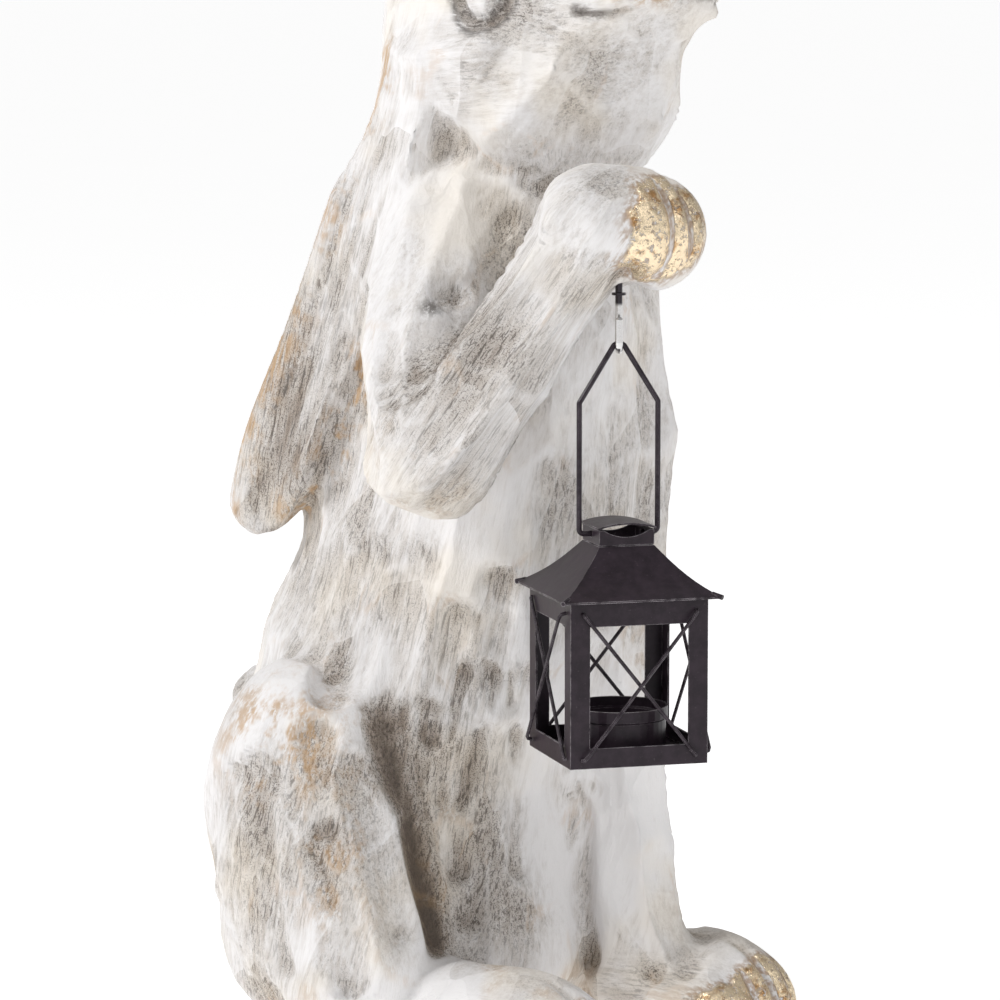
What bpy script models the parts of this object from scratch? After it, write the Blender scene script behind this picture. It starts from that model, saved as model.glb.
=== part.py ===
"""A seated rabbit cast in one piece with a carved-wood surface, one forepaw raised, and a small
sheet-metal tealight lantern hanging from a screw hook under that paw.

The rabbit faces -Y, its right side is -X, and the origin is the middle of its flat underside.
"""

import math

import bmesh
import bpy
import numpy as np
from mathutils import Matrix, Vector, kdtree

# The figure. Its pose, proportions and carving are shares of its height, in figure units.
FIGURE_HEIGHT = 0.530
CROWN = 524.8
UNIT = FIGURE_HEIGHT / CROWN
CLAY_VOXEL = 3.0
FIGURE_TRIANGLES = 5760

# The lantern, in metres
LANTERN_WIDTH = 0.0595
WALL_HEIGHT = 0.0701
POST_WIDTH = 0.0084
TOP_RAIL = 0.0110
BOTTOM_RAIL = 0.0084
SHEET = 0.0008
EAVE_OVERHANG = 0.0043
ROOF_HEIGHT = 0.0197
ROOF_SAG = 0.0020
ROOF_LUG_RADIUS = 0.0011
COLLAR_WIDTH = 0.0238
COLLAR_HEIGHT = 0.0064
VENT_DIP = 0.0030
CAP_RISE = 0.0019
CAP_OVERHANG = 0.0006
BASE_BULGE = 0.0032
BULGE_RADIUS = 0.0215
CROSS_WIRE = 0.0016
CROSS_INSET_SIDE = 0.0052
CROSS_INSET_TOP = 0.0055
CROSS_INSET_BOTTOM = 0.0036
CUP_DIAMETER = 0.042
CUP_HEIGHT = 0.0185
CUP_BEAD_DROP = 0.0048
CUP_STEP = 0.0008
LANTERN_YAW = -31.0

# The bail and the hook, in metres
BAIL_WIRE = 0.0023
BAIL_WIDTH = 0.0343
BAIL_LEG = 0.0548
BAIL_PEAK = 0.0272
BAIL_CORNER = 0.0020
PIVOT_ABOVE_ROOF = 0.0041
HOOK_WIRE = 0.0030
HOOK_DROP = 0.0210
HOOK_BEND = 0.0036
HOOK_TIP_RISE = 0.0105
HOOK_SCREW_DEPTH = 0.009
HOOK_COLLAR_RADIUS = 0.0030
HOOK_YAW = -47.0

# Clearances
PIECE_GAP = 0.0003
BAIL_HOLE_CLEARANCE = 0.0004
CUT_OVERRUN = 0.01
SAWN_OFF = 0.003

# Where the hook hangs, in figure units
HOOK_PLACE = (-50.5, -114.0, 337.0)


def unit_vector(values):
    """The values as a numpy vector of length 1."""
    vector = np.array(values, float)
    return vector / np.linalg.norm(vector)


# Clay: the figure's masses, before they are melted together.
# A form is a run of stations, each a centre and radii. Clay fills the smooth curve between them.
TORSO = (
    ((0, 51, 46), (86, 87, 62)),
    ((0, 52, 108), (80, 85, 56)),
    ((0, 40, 160), (72, 86, 50)),
    ((0, 18, 215), (65, 82, 50)),
    ((0, 6, 270), (58, 74, 48)),
    ((0, -2, 325), (52, 66, 45)),
    ((0, -6, 372), (46, 56, 42)),
    ((0, -8, 420), (44, 50, 40)),
)
NAPE = (
    ((0, 66, 250), (56, 42, 44)),
    ((0, 46, 310), (50, 42, 44)),
    ((0, 28, 370), (46, 40, 44)),
    ((0, 16, 430), (44, 36, 44)),
)
SKULL = (
    ((0, 12, 458), (42, 34, 50)),
    ((0, -18, 466), (49, 42, 58)),
    ((0, -48, 465), (43, 38, 50)),
    ((0, -72, 462), (34, 30, 39)),
    ((0, -88, 463), (24, 20, 27)),
)
JAW = (
    ((0, -14, 410), (46, 44, 44)),
    ((0, -42, 406), (42, 38, 38)),
    ((0, -60, 416), (34, 31, 38)),
    ((0, -76, 432), (24, 25, 27)),
)
CHEEK = (
    ((26, -16, 432), (28, 36, 44)),
    ((27, -38, 424), (26, 34, 40)),
    ((20, -66, 443), (17, 25, 26)),
    ((12, -91, 461), (15, 18, 16)),
)
HAUNCH = (
    ((72, 54, 72), (34, 42, 64)),
    ((78, 45, 90), (36, 47, 78)),
    ((80, 30, 72), (33, 44, 62)),
    ((80, 18, 50), (30, 40, 50)),
)
HIND_FOOT = (
    ((62, 10, 14), (28, 32, 28)),
    ((59, -36, 13), (26, 32, 27)),
    ((58, -68, 14), (27, 34, 28)),
    ((58, -84, 12), (26, 28, 25)),
)
RAISED_FORELEG = (
    ((-34, -2, 342), (34, 40, 44)),
    ((-62, -18, 304), (30, 32, 38)),
    ((-84, -40, 268), (25, 26, 27)),
    ((-76, -70, 304), (21, 22, 25)),
    ((-60, -96, 348), (20, 21, 22)),
    ((-54, -104, 364), (20, 21, 22)),
)
RAISED_PAW = (
    ((-56, -104, 363), (23, 22, 22)),
    ((-44, -113, 363), (24, 22, 22)),
    ((-34, -116, 360), (21, 20, 21)),
)
PLANTED_FORELEG = (
    ((35, -16, 322), (34, 38, 44)),
    ((36, -32, 240), (27, 29, 34)),
    ((35, -40, 150), (21, 23, 28)),
    ((35, -43, 80), (20, 22, 24)),
    ((37, -54, 26), (22, 25, 20)),
)
PLANTED_PAW = (
    ((39, -62, 14), (24, 26, 19)),
    ((41, -84, 12), (24, 25, 18)),
)
NOSE = (
    ((0, -100, 480), (12, 10, 9)),
    ((0, -105, 476), (9, 8, 7)),
)
TAIL = (
    ((0, 128, 112), (19, 18, 20)),
    ((0, 146, 123), (18, 19, 21)),
)
SINGLE_FORMS = (
    TORSO,
    NAPE,
    SKULL,
    JAW,
    NOSE,
    TAIL,
    RAISED_FORELEG,
    RAISED_PAW,
    PLANTED_FORELEG,
    PLANTED_PAW,
)
PAIRED_FORMS = (CHEEK, HAUNCH, HIND_FOOT)
# The left ear's stations, mirrored for the right: centre, half width, half thickness, half length.
EAR = (
    ((20, -2, 498), 17, 13, 14),
    ((35, -2, 470), 16, 11, 14),
    ((45, 6, 424), 17, 10, 16),
    ((51, 28, 364), 21, 9, 16),
    ((54, 47, 312), 25, 9, 16),
    ((56, 71, 262), 27, 9, 16),
    ((54, 91, 232), 18, 8, 13),
)
EAR_TURN = 12.0
EAR_SQUARENESS = 5.0


STROKE_DEPTH = 1.35
CUT_SPACING = 22
CUT_WIDTH = 19
CUT_LENGTH = 52
CUT_DEPTH = 6.5
SEED_REACH = 12
# The raised paw's front, a part of a circle in plan
RAISED_TOES_Y = -115
RAISED_TOES_RADIUS = 22
# Limbs whittled to flat sides: how many sides, and the turn of the first in degrees
WHITTLED_LIMBS = ((RAISED_FORELEG[1:], 5, 0.8), (PLANTED_FORELEG, 6, 20.0))
# Broad gouge strokes in figure units: where each runs from top to bottom, its half width and depth
RIGHT_STROKES = (
    (((-56, -15, 372), (-80, -18, 334), (-94, -22, 300)), 11, 3.0),
    (((-45, -34, 365), (-67, -34, 334), (-91, -38, 304)), 15, 3.4),
    (((-34, -43, 359), (-53, -44, 334), (-86, -46, 310)), 13, 3.2),
    (((-52, -22, 190), (-51, -16, 164), (-51, -13, 139)), 13, 4.0),
    (((-44, -26, 162), (-42, -22, 137), (-45, -16, 110)), 12, 4.2),
    (((-44, -40, 207), (-40, -34, 177), (-32, -33, 152)), 11, 3.6),
    (((-57, -8, 148), (-52, -8, 115), (-45, -16, 78)), 10, 3.6),
    (((-30, -30, 133), (-37, -20, 96), (-42, -20, 59)), 14, 4.2),
    (((-22, -40, 163), (-16, -34, 117), (-18, -29, 78)), 12, 3.6),
    (((16, -39, 108), (14, -37, 73), (19, -38, 34)), 11, 3.0),
    (((19, -53, 92), (20, -57, 62), (22, -71, 33)), 11, 3.0),
    (((-64, 16, 214), (-67, 30, 182), (-85, 21, 159)), 13, 3.0),
    (((-59, -8, 216), (-61, 2, 180), (-64, 4, 145)), 13, 3.2),
    (((-26, -59, 252), (-27, -56, 217), (-21, -48, 181)), 13, 3.2),
    (((0, -65, 276), (0, -65, 233), (9, -56, 187)), 14, 2.8),
)
PAIRED_STROKES = (
    (((59, 5, 410), (66, 39, 313), (69, 79, 235)), 22, 2.6),
    (((67, 18, 323), (61, 41, 273), (42, 82, 227)), 13, 4.5),
    (((110, 53, 120), (110, 61, 87), (99, 62, 41)), 8, 2.2),
    (((112, 40, 123), (112, 35, 89), (107, 27, 41)), 12, 3.0),
    (((107, 27, 122), (107, 15, 98), (107, 4, 71)), 9, 2.6),
    (((99, 16, 141), (100, 13, 123), (101, 8, 104)), 10, 3.0),
    (((101, 6, 98), (103, -6, 74), (104, -10, 37)), 12, 3.0),
    (((89, 0, 124), (86, -8, 93), (84, -19, 60)), 13, 3.2),
    (((27, -85, 434), (33, -69, 409), (34, -48, 388)), 16, 2.6),
    (((51, -59, 430), (49, -33, 408), (43, -12, 391)), 14, 2.4),
    (((10, -101, 426), (14, -91, 405), (16, -76, 389)), 14, 2.6),
)


def curve_through(stations, share):
    """The point at a share of the way along a Catmull-Rom curve through rows of numbers."""
    rows = np.array(stations, float)
    last = len(rows) - 1
    place = min(share * last, last - 1e-9)
    step = int(place)
    t = place - step
    before = rows[max(step - 1, 0)]
    here = rows[step]
    there = rows[step + 1]
    after = rows[min(step + 2, last)]
    slope_here = (there - before) / 2
    slope_there = (after - here) / 2
    return (
        here * (2 * t**3 - 3 * t**2 + 1)
        + slope_here * (t**3 - 2 * t**2 + t)
        + there * (3 * t**2 - 2 * t**3)
        + slope_there * (t**3 - t**2)
    )


def mirrored(stations, side):
    """A form's stations as rows of numbers, on the left side at 1 or the right side at -1."""
    return [(side * centre[0], *centre[1:], *radii) for centre, radii in stations]


def round_bead():
    """A ball of radius 1, the bead that every form is made of."""
    shape = bmesh.new()
    bmesh.ops.create_icosphere(shape, subdivisions=3, radius=1.0)
    mesh = bpy.data.meshes.new("bead")
    shape.to_mesh(mesh)
    shape.free()
    return mesh


def squared_bead(power):
    """A bead with the plan of a rounded square, for slabs with crisp edges."""
    mesh = round_bead()
    for vertex in mesh.vertices:
        x, y, z = vertex.co
        plan = (abs(x) ** power + abs(y) ** power) ** (2 / power)
        vertex.co = vertex.co / math.sqrt(plan + z * z)
    return mesh


def add_form(clay, bead, rows, turn=0.0, beads=8):
    """A form of clay: ellipsoids close together on the curve through its rows."""
    count = beads * (len(rows) - 1)
    turned = Matrix.Rotation(math.radians(turn), 4, "Z")
    for index in range(count + 1):
        row = curve_through(rows, index / count)
        squeezed = bead.copy()
        squeezed.transform(turned @ Matrix.Diagonal((*row[3:], 1.0)))
        squeezed.transform(Matrix.Translation(row[:3]))
        clay.from_mesh(squeezed)
        bpy.data.meshes.remove(squeezed)


def ear_rows(side):
    """One ear's stations as rows of numbers."""
    return [(side * at[0], *at[1:], thick, wide, long) for at, wide, thick, long in EAR]


def build_clay():
    """All the forms of the figure, as overlapping closed shells in one bmesh, in figure units."""
    clay = bmesh.new()
    bead = round_bead()
    slab_bead = squared_bead(EAR_SQUARENESS)
    for stations in SINGLE_FORMS:
        add_form(clay, bead, mirrored(stations, 1))
    for side in (-1, 1):
        for stations in PAIRED_FORMS:
            add_form(clay, bead, mirrored(stations, side))
        add_form(clay, slab_bead, ear_rows(side), side * EAR_TURN)
    bpy.data.meshes.remove(bead)
    bpy.data.meshes.remove(slab_bead)
    return clay


def melted(clay, voxel):
    """One skin over all the clay, by a voxel remesh, as a mesh in figure units."""
    mesh = bpy.data.meshes.new("clay")
    clay.to_mesh(mesh)
    clay.free()
    lump = bpy.data.objects.new("clay", mesh)
    bpy.context.scene.collection.objects.link(lump)
    remesh = lump.modifiers.new("Melt", "REMESH")
    remesh.mode = "VOXEL"
    remesh.voxel_size = voxel
    graph = bpy.context.evaluated_depsgraph_get()
    skin = bpy.data.meshes.new_from_object(lump.evaluated_get(graph))
    bpy.data.objects.remove(lump)
    bpy.data.meshes.remove(mesh)
    return skin


class Surface:
    """A closed mesh as arrays: its points, the edges between them and its faces' corners."""

    def __init__(self, mesh):
        self.mesh = mesh
        self.points = np.empty((len(mesh.vertices), 3))
        mesh.vertices.foreach_get("co", self.points.reshape(-1))
        ends = np.empty(len(mesh.edges) * 2, np.int32)
        mesh.edges.foreach_get("vertices", ends)
        self.ends = ends.reshape(-1, 2)
        self.count = np.bincount(self.ends.reshape(-1), minlength=len(self.points))
        mesh.calc_loop_triangles()
        corners = np.empty(len(mesh.loop_triangles) * 3, np.int32)
        mesh.loop_triangles.foreach_get("vertices", corners)
        self.corners = corners.reshape(-1, 3)

    def normals(self):
        """The outward normal at every point."""
        a, b, c = (self.points[self.corners[:, k]] for k in range(3))
        facing = np.cross(b - a, c - a)
        total = np.zeros_like(self.points)
        for k in range(3):
            for axis in range(3):
                total[:, axis] += np.bincount(
                    self.corners[:, k], weights=facing[:, axis], minlength=len(total)
                )
        return total / np.maximum(np.linalg.norm(total, axis=1, keepdims=True), 1e-12)

    def neighbour_mean(self, values):
        """The mean of each point's neighbours, for a column or for three."""
        values = values.reshape(len(self.points), -1)
        total = np.zeros_like(values)
        for axis in range(values.shape[1]):
            column = values[:, axis]
            total[:, axis] = np.bincount(
                self.ends[:, 0], weights=column[self.ends[:, 1]], minlength=len(total)
            ) + np.bincount(
                self.ends[:, 1], weights=column[self.ends[:, 0]], minlength=len(total)
            )
        return total / self.count[:, None]

    def soften(self, passes, convex_share):
        """Fills creases like a thumb. Convex places move only by their share."""
        for _ in range(passes):
            normals = self.normals()
            pull = self.neighbour_mean(self.points) - self.points
            outward = (pull * normals).sum(axis=1)
            share = np.where(outward > 0, 1.0, convex_share)
            self.points += 0.5 * pull * share[:, None]

    def push(self, normals, amount):
        """Moves each point along its normal."""
        self.points += normals * amount[:, None]

    def write(self):
        """Stores the points back in the mesh."""
        self.mesh.vertices.foreach_set("co", self.points.astype(np.float32).reshape(-1))
        self.mesh.update()


def smooth_path(places, steps=20):
    """Many places on the smooth curve through a few."""
    return np.array([curve_through(places, index / steps) for index in range(steps + 1)])


def distance_to_path(points, path):
    """Each point's distance to a line through places, and how far along the line it is."""
    nearest = np.full(len(points), np.inf)
    along = np.zeros(len(points))
    for step in range(len(path) - 1):
        start = path[step]
        run = path[step + 1] - start
        t = np.clip((points - start) @ run / (run @ run), 0, 1)
        away = np.linalg.norm(points - start - t[:, None] * run, axis=1)
        closer = away < nearest
        nearest[closer] = away[closer]
        along[closer] = (step + t[closer]) / (len(path) - 1)
    return nearest, along


def row_on_path(rows, along):
    """The path's row at each share of the way along it, between its listed rows."""
    place = along * (len(rows) - 1)
    low = np.minimum(place.astype(int), len(rows) - 2)
    share = (place - low)[:, None]
    return rows[low] * (1 - share) + rows[low + 1] * share


def cut_groove(surface, places, width, depth, taper=0.25):
    """A groove of rounded V section along a curve. A negative depth raises a ridge."""
    path = smooth_path(places)
    above = surface.points > path.min(axis=0) - width
    below = surface.points < path.max(axis=0) + width
    near = np.flatnonzero((above & below).all(axis=1))
    away, along = distance_to_path(surface.points[near], path)
    ends = np.clip(np.minimum(along, 1 - along) / taper, 0, 1)
    share = np.clip(away / width, 0, 1)
    section = (1 - share) ** 2 * (1 + 2 * share)
    normals = surface.normals()[near]
    surface.points[near] -= normals * (depth * section * (0.25 + 0.75 * ends))[:, None]


def whittle(surface, rows, sides, turn):
    """Cuts a round limb to a long prism with flat sides, whose edges stay on the old skin or just past it."""
    path = smooth_path(rows)
    axis = path[:, :3]
    runs = np.array([unit_vector(run) for run in np.gradient(axis, axis=0)])
    radii = path[:, 3:].mean(axis=1)
    reach = 1.5 * radii.max()
    inside = (surface.points > axis.min(axis=0) - reach) & (surface.points < axis.max(axis=0) + reach)
    near = np.flatnonzero(inside.all(axis=1))
    points = surface.points[near]
    _, along = distance_to_path(points, axis)
    run = row_on_path(runs, along)
    offset = points - row_on_path(axis, along)
    radial = offset - (offset * run).sum(axis=1)[:, None] * run
    away = np.linalg.norm(radial, axis=1)
    outward = radial / np.maximum(away, 1e-9)[:, None]
    across = np.cross(run, (0.0, 0.0, 1.0))
    across /= np.linalg.norm(across, axis=1)[:, None]
    upward = np.cross(across, run)
    angle = np.arctan2((outward * upward).sum(axis=1), (outward * across).sum(axis=1))
    step = 2 * math.pi / sides
    from_middle = (angle - math.radians(turn) + step / 2) % step - step / 2
    profile = math.cos(step / 2) / np.cos(from_middle) / (0.4 + 0.6 * math.cos(step / 2))
    skin = np.clip((1.7 - away / row_on_path(radii[:, None], along)[:, 0]) / 0.5, 0, 1)
    skin *= np.clip((outward * surface.normals()[near]).sum(axis=1) / 0.6, 0, 1)
    skin *= np.clip(np.minimum(along, 1 - along) / 0.2, 0, 1)
    surface.points[near] += outward * (away * (profile - 1) * skin)[:, None]


def form_seeds(rows):
    """Places for chisel cuts all round a form, and the grain they follow there."""
    rows = np.array(rows, float)
    seeds = []
    row_number = 0
    for here, there in zip(rows[:-1], rows[1:]):
        run = there[:3] - here[:3]
        reach = np.linalg.norm(run)
        grain = run / reach
        side = unit_vector(np.cross(grain, (0.3, 1.0, 0.1)))
        front = np.cross(grain, side)
        for lift in range(max(round(reach / CUT_LENGTH), 1)):
            share = (lift + 0.5) / max(round(reach / CUT_LENGTH), 1)
            middle = here + (there - here) * share
            girth = 2 * math.pi * np.mean(middle[3:5])
            cuts = max(round(girth / CUT_SPACING), 5)
            for step in range(cuts):
                turn = 2 * math.pi * (step + 0.5 * (row_number % 2)) / cuts + 0.4 * row_number
                around = side * math.cos(turn) + front * math.sin(turn)
                scale = 1 / np.linalg.norm(around / middle[3:])
                seeds.append((middle[:3] + around * scale, grain))
            row_number += 1
    return seeds


def chisel(surface, seeds, depth, share):
    """Covers the surface in long shallow cuts, one round each seed that lies close to the skin.

    The share is how much of its depth a cut keeps at each point. Seeds that crowd one already taken are left out, and the cuts meet in ridges.
    """
    tree = kdtree.KDTree(len(surface.points))
    for index, point in enumerate(surface.points):
        tree.insert(point, index)
    tree.balance()
    places = np.empty((0, 3))
    shallow = np.full(len(surface.points), 1.0)
    for seed, grain in seeds:
        found, _, gap = tree.find(seed)
        if gap > SEED_REACH:
            continue
        offset = places - np.array(found)
        along = offset @ grain
        across = (offset**2).sum(axis=1) - along**2
        if (across / CUT_WIDTH**2 + (along / CUT_LENGTH) ** 2 < 0.72).any():
            continue
        places = np.vstack((places, found))
        near = np.array([index for _, index, _ in tree.find_range(found, CUT_LENGTH)])
        offset = surface.points[near] - np.array(found)
        along = offset @ grain
        across = (offset**2).sum(axis=1) - along**2
        shallow[near] = np.minimum(shallow[near], across / CUT_WIDTH**2 + (along / CUT_LENGTH) ** 2)
    surface.push(surface.normals(), depth * (shallow - 0.45) * share)


def figure_seeds():
    """The chisel's cuts, along each form and up the body."""
    seeds = []
    for stations in (TORSO, SKULL, JAW, NAPE, TAIL):
        seeds += form_seeds(mirrored(stations, 1))
    for side in (-1, 1):
        for stations in (HAUNCH, CHEEK):
            seeds += form_seeds(mirrored(stations, side))
    for stations in (RAISED_FORELEG, PLANTED_FORELEG):
        seeds += form_seeds(mirrored(stations, 1))
    return seeds


def stroke_place(surface, places, width):
    """The points a gouge stroke meets: their numbers, the way out and how deep they lie."""
    path = smooth_path(places, 10)
    reach = 1.2 * width
    above = surface.points > path.min(axis=0) - reach
    below = surface.points < path.max(axis=0) + reach
    near = np.flatnonzero((above & below).all(axis=1))
    points = surface.points[near]
    normals = surface.normals()[near]
    offsets = np.linalg.norm(points[:, None] - path[None], axis=2)
    faced = neighbour_blend(normals[offsets.argmin(axis=0)])
    away, way = distance_to_path(points, path)
    out = row_on_path(neighbour_blend(faced), way)
    out /= np.linalg.norm(out, axis=1)[:, None]
    height = ((points - row_on_path(path, way)) * out).sum(axis=1)
    across = np.sqrt(np.maximum(away**2 - height**2, 0))
    share = across / (width * (1 - 0.25 * way))
    facing = np.clip(((normals * out).sum(axis=1) - 0.25) / 0.35, 0, 1)
    close = np.clip(2.2 - np.abs(height) / (0.5 * width), 0, 1)
    return near, out, np.clip(1 - share**2, 0, 1) * facing * close


def neighbour_blend(rows):
    """Rows averaged with the ones beside them."""
    wide = np.vstack((rows[:1], rows, rows[-1:]))
    return (wide[:-2] + wide[1:-1] + wide[2:]) / 3


def all_strokes():
    """The strokes of the right side and the shared ones on both sides."""
    strokes = list(RIGHT_STROKES)
    for places, width, depth in PAIRED_STROKES:
        for side in (-1, 1):
            strokes.append((tuple((side * x, y, z) for x, y, z in places), width, depth))
    return strokes


def stroke_cover(surface):
    """How much of the surface belongs to the broad strokes, 1 well inside one."""
    cover = np.zeros(len(surface.points))
    for places, width, _ in all_strokes():
        near, _, share = stroke_place(surface, places, width)
        cover[near] = np.maximum(cover[near], np.clip(share * 4, 0, 1))
    return cover


def carve_strokes(surface):
    """Cuts the broad strokes."""
    for places, width, depth in all_strokes():
        near, out, share = stroke_place(surface, places, width)
        surface.points[near] -= out * (STROKE_DEPTH * depth * share)[:, None]


def carve_paws(surface):
    """The toes: grooves over the front of each paw and foot."""
    for turn in (0, 1, 2):
        x = -55 + 11.5 * turn
        front = RAISED_TOES_Y - math.sqrt(RAISED_TOES_RADIUS**2 - (x + 36) ** 2)
        cut_groove(
            surface,
            ((x, front + 20, 386), (x, front + 3, 376), (x, front, 358), (x, front + 9, 340)),
            5.5,
            4.4,
        )
    for side in (-1, 1):
        for turn in (-1, 0, 1):
            x = side * 58 + 12.5 * turn
            cut_groove(surface, ((x, -72, 50), (x, -98, 40), (x, -114, 22), (x, -114, 4)), 6, 4.5)
    for turn in (-1, 0, 1):
        x = 41 + 10 * turn
        cut_groove(surface, ((x, -84, 28), (x, -102, 22), (x, -108, 8)), 5, 3.5)


def carve_face(surface):
    """The mouth, the nose, the philtrum, the chin's dimple and the eyes in their lids."""
    for side in (-1, 1):
        cut_groove(
            surface,
            ((0, -106, 459), (side * 15, -107, 455), (side * 27, -92, 451), (side * 35, -72, 450)),
            5,
            3.8,
        )
        cut_groove(
            surface,
            ((0, -106, 453), (side * 15, -107, 449), (side * 27, -92, 445), (side * 34, -74, 444)),
            5,
            -1.6,
        )
        cut_groove(
            surface,
            ((side * 3, -112, 470), (side * 10, -112, 474), (side * 14, -104, 481)),
            4,
            2.6,
        )
        eye = np.array((side * 47.0, -35.0, 460.0))
        away = np.linalg.norm(surface.points - eye, axis=1)
        socket = np.exp(-(((away - 13) / 3.5) ** 2))
        ball = np.clip(1 - (away / 10.5) ** 2, 0, 1)
        surface.push(surface.normals(), 3.6 * ball - 2.6 * socket)
    cut_groove(surface, ((0, -114, 471), (0, -112, 465), (0, -106, 459)), 4.5, 3.0)
    cut_groove(surface, ((-13, -99, 441), (-9, -101, 438)), 4, 2.2)


def carve_creases(surface):
    """The deep lines between haunch and belly, foreleg and chest, cheek and neck, ear and neck."""
    for side in (-1, 1):
        cut_groove(
            surface,
            (
                (side * 66, -12, 150),
                (side * 74, -26, 118),
                (side * 72, -40, 88),
                (side * 66, -46, 62),
            ),
            13,
            6,
        )
        cut_groove(
            surface,
            ((side * 44, -10, 398), (side * 38, -34, 382), (side * 24, -58, 372), (0, -74, 366)),
            11,
            3,
        )
        cut_groove(
            surface,
            ((side * 46, 16, 390), (side * 48, 30, 350), (side * 50, 40, 310), (side * 52, 56, 260)),
            8,
            3,
        )
    cut_groove(
        surface,
        ((-76, -22, 326), (-66, -46, 340), (-54, -66, 362), (-46, -78, 378)),
        10,
        5,
    )
    cut_groove(surface, ((6, -76, 300), (8, -74, 240), (12, -72, 180), (14, -68, 110)), 12, 6)


def carve_ears(surface):
    """Long gouge marks down the broad face of each ear."""
    for side in (-1, 1):
        for shift in (-0.45, 0.05, 0.5):
            places = []
            for centre, half_width, thickness, _ in EAR[2:]:
                y = centre[1] + shift * half_width
                places.append((side * (centre[0] + thickness), y, centre[2]))
            cut_groove(surface, places, 7, 2.0)


def figure_mesh(voxel, lowest):
    """The whole carved figure as a closed mesh in metres, pressed flat at its lowest height."""
    surface = Surface(melted(build_clay(), voxel))
    surface.soften(int(36 * (3.0 / voxel) ** 2), 0.03)
    carve_creases(surface)
    for stations, sides, turn in WHITTLED_LIMBS:
        whittle(surface, mirrored(stations, 1), sides, turn)
    cover = stroke_cover(surface)
    chisel(surface, figure_seeds(), CUT_DEPTH, 1 - 0.8 * cover)
    carve_strokes(surface)
    carve_ears(surface)
    carve_paws(surface)
    carve_face(surface)
    surface.points *= UNIT
    surface.points[:, 2] = np.maximum(surface.points[:, 2], lowest)
    surface.write()
    return surface.mesh


def clear_scene():
    """Removes every object of the startup scene."""
    for found in list(bpy.data.objects):
        bpy.data.objects.remove(found)


def new_collection(name):
    """A collection under the scene's own."""
    made = bpy.data.collections.new(name)
    bpy.context.scene.collection.children.link(made)
    return made


def paint(name, colour, roughness, metallic):
    """A plain Principled material."""
    material = bpy.data.materials.new(name)
    material.use_nodes = True
    shader = material.node_tree.nodes["Principled BSDF"]
    shader.inputs["Base Color"].default_value = (*colour, 1.0)
    shader.inputs["Roughness"].default_value = roughness
    shader.inputs["Metallic"].default_value = metallic
    material.diffuse_color = (*colour, 1.0)
    return material


def place(name, mesh, collection, material, parent=None):
    """A named object for one sub-part."""
    made = bpy.data.objects.new(name, mesh)
    collection.objects.link(made)
    if material is not None:
        mesh.materials.clear()
        mesh.materials.append(material)
    made.parent = parent
    return made


def as_cutter(made):
    """Marks a helper that only cuts others."""
    made.hide_render = True
    made.display_type = "WIRE"
    return made


def box_mesh(name, low, high):
    """A box between two corners."""
    shape = bmesh.new()
    middle = [(a + b) / 2 for a, b in zip(low, high)]
    size = [b - a for a, b in zip(low, high)]
    placed = Matrix.Translation(middle) @ Matrix.Diagonal((*size, 1.0))
    bmesh.ops.create_cube(shape, size=1.0, matrix=placed)
    mesh = bpy.data.meshes.new(name)
    shape.to_mesh(mesh)
    shape.free()
    return mesh


def rod_mesh(name, radius, start, end, sides=20):
    """A cylinder between two places."""
    shape = bmesh.new()
    run = Vector(end) - Vector(start)
    turn = run.to_track_quat("Z", "Y").to_matrix().to_4x4()
    middle = Matrix.Translation((Vector(start) + Vector(end)) / 2)
    bmesh.ops.create_cone(
        shape,
        cap_ends=True,
        segments=sides,
        radius1=radius,
        radius2=radius,
        depth=run.length,
        matrix=middle @ turn,
    )
    mesh = bpy.data.meshes.new(name)
    shape.to_mesh(mesh)
    shape.free()
    return mesh


def cut(made, cutter, operation="DIFFERENCE"):
    """Cuts one object with another, or joins them."""
    modifier = made.modifiers.new(operation.title(), "BOOLEAN")
    modifier.object = cutter
    modifier.operation = operation
    modifier.solver = "EXACT"


def wire(name, places, thickness, collection, material, parent, radii=None, sides=3):
    """A round wire through places, with closed ends."""
    line = bpy.data.curves.new(name, "CURVE")
    line.dimensions = "3D"
    line.bevel_depth = thickness / 2
    line.bevel_resolution = sides
    line.use_fill_caps = True
    spline = line.splines.new("POLY")
    spline.points.add(len(places) - 1)
    for index, at in enumerate(places):
        spline.points[index].co = (*at, 1.0)
        spline.points[index].radius = radii[index] if radii else 1.0
    made = bpy.data.objects.new(name, line)
    collection.objects.link(made)
    line.materials.append(material)
    made.parent = parent
    return made


def rounded(places, radii, steps=5):
    """The same line with each inner corner bent to its radius."""
    line = [Vector(places[0])]
    for before, corner, after, radius in zip(places[:-2], places[1:-1], places[2:], radii):
        corner = Vector(corner)
        back = (Vector(before) - corner).normalized()
        ahead = (Vector(after) - corner).normalized()
        half_angle = back.angle(ahead) / 2
        centre = corner + (back + ahead).normalized() * radius / math.sin(half_angle)
        first = corner + back * radius / math.tan(half_angle) - centre
        last = corner + ahead * radius / math.tan(half_angle) - centre
        for index in range(steps + 1):
            turned = first.lerp(last, index / steps).normalized()
            line.append(centre + turned * radius)
    line.append(Vector(places[-1]))
    return line


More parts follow.
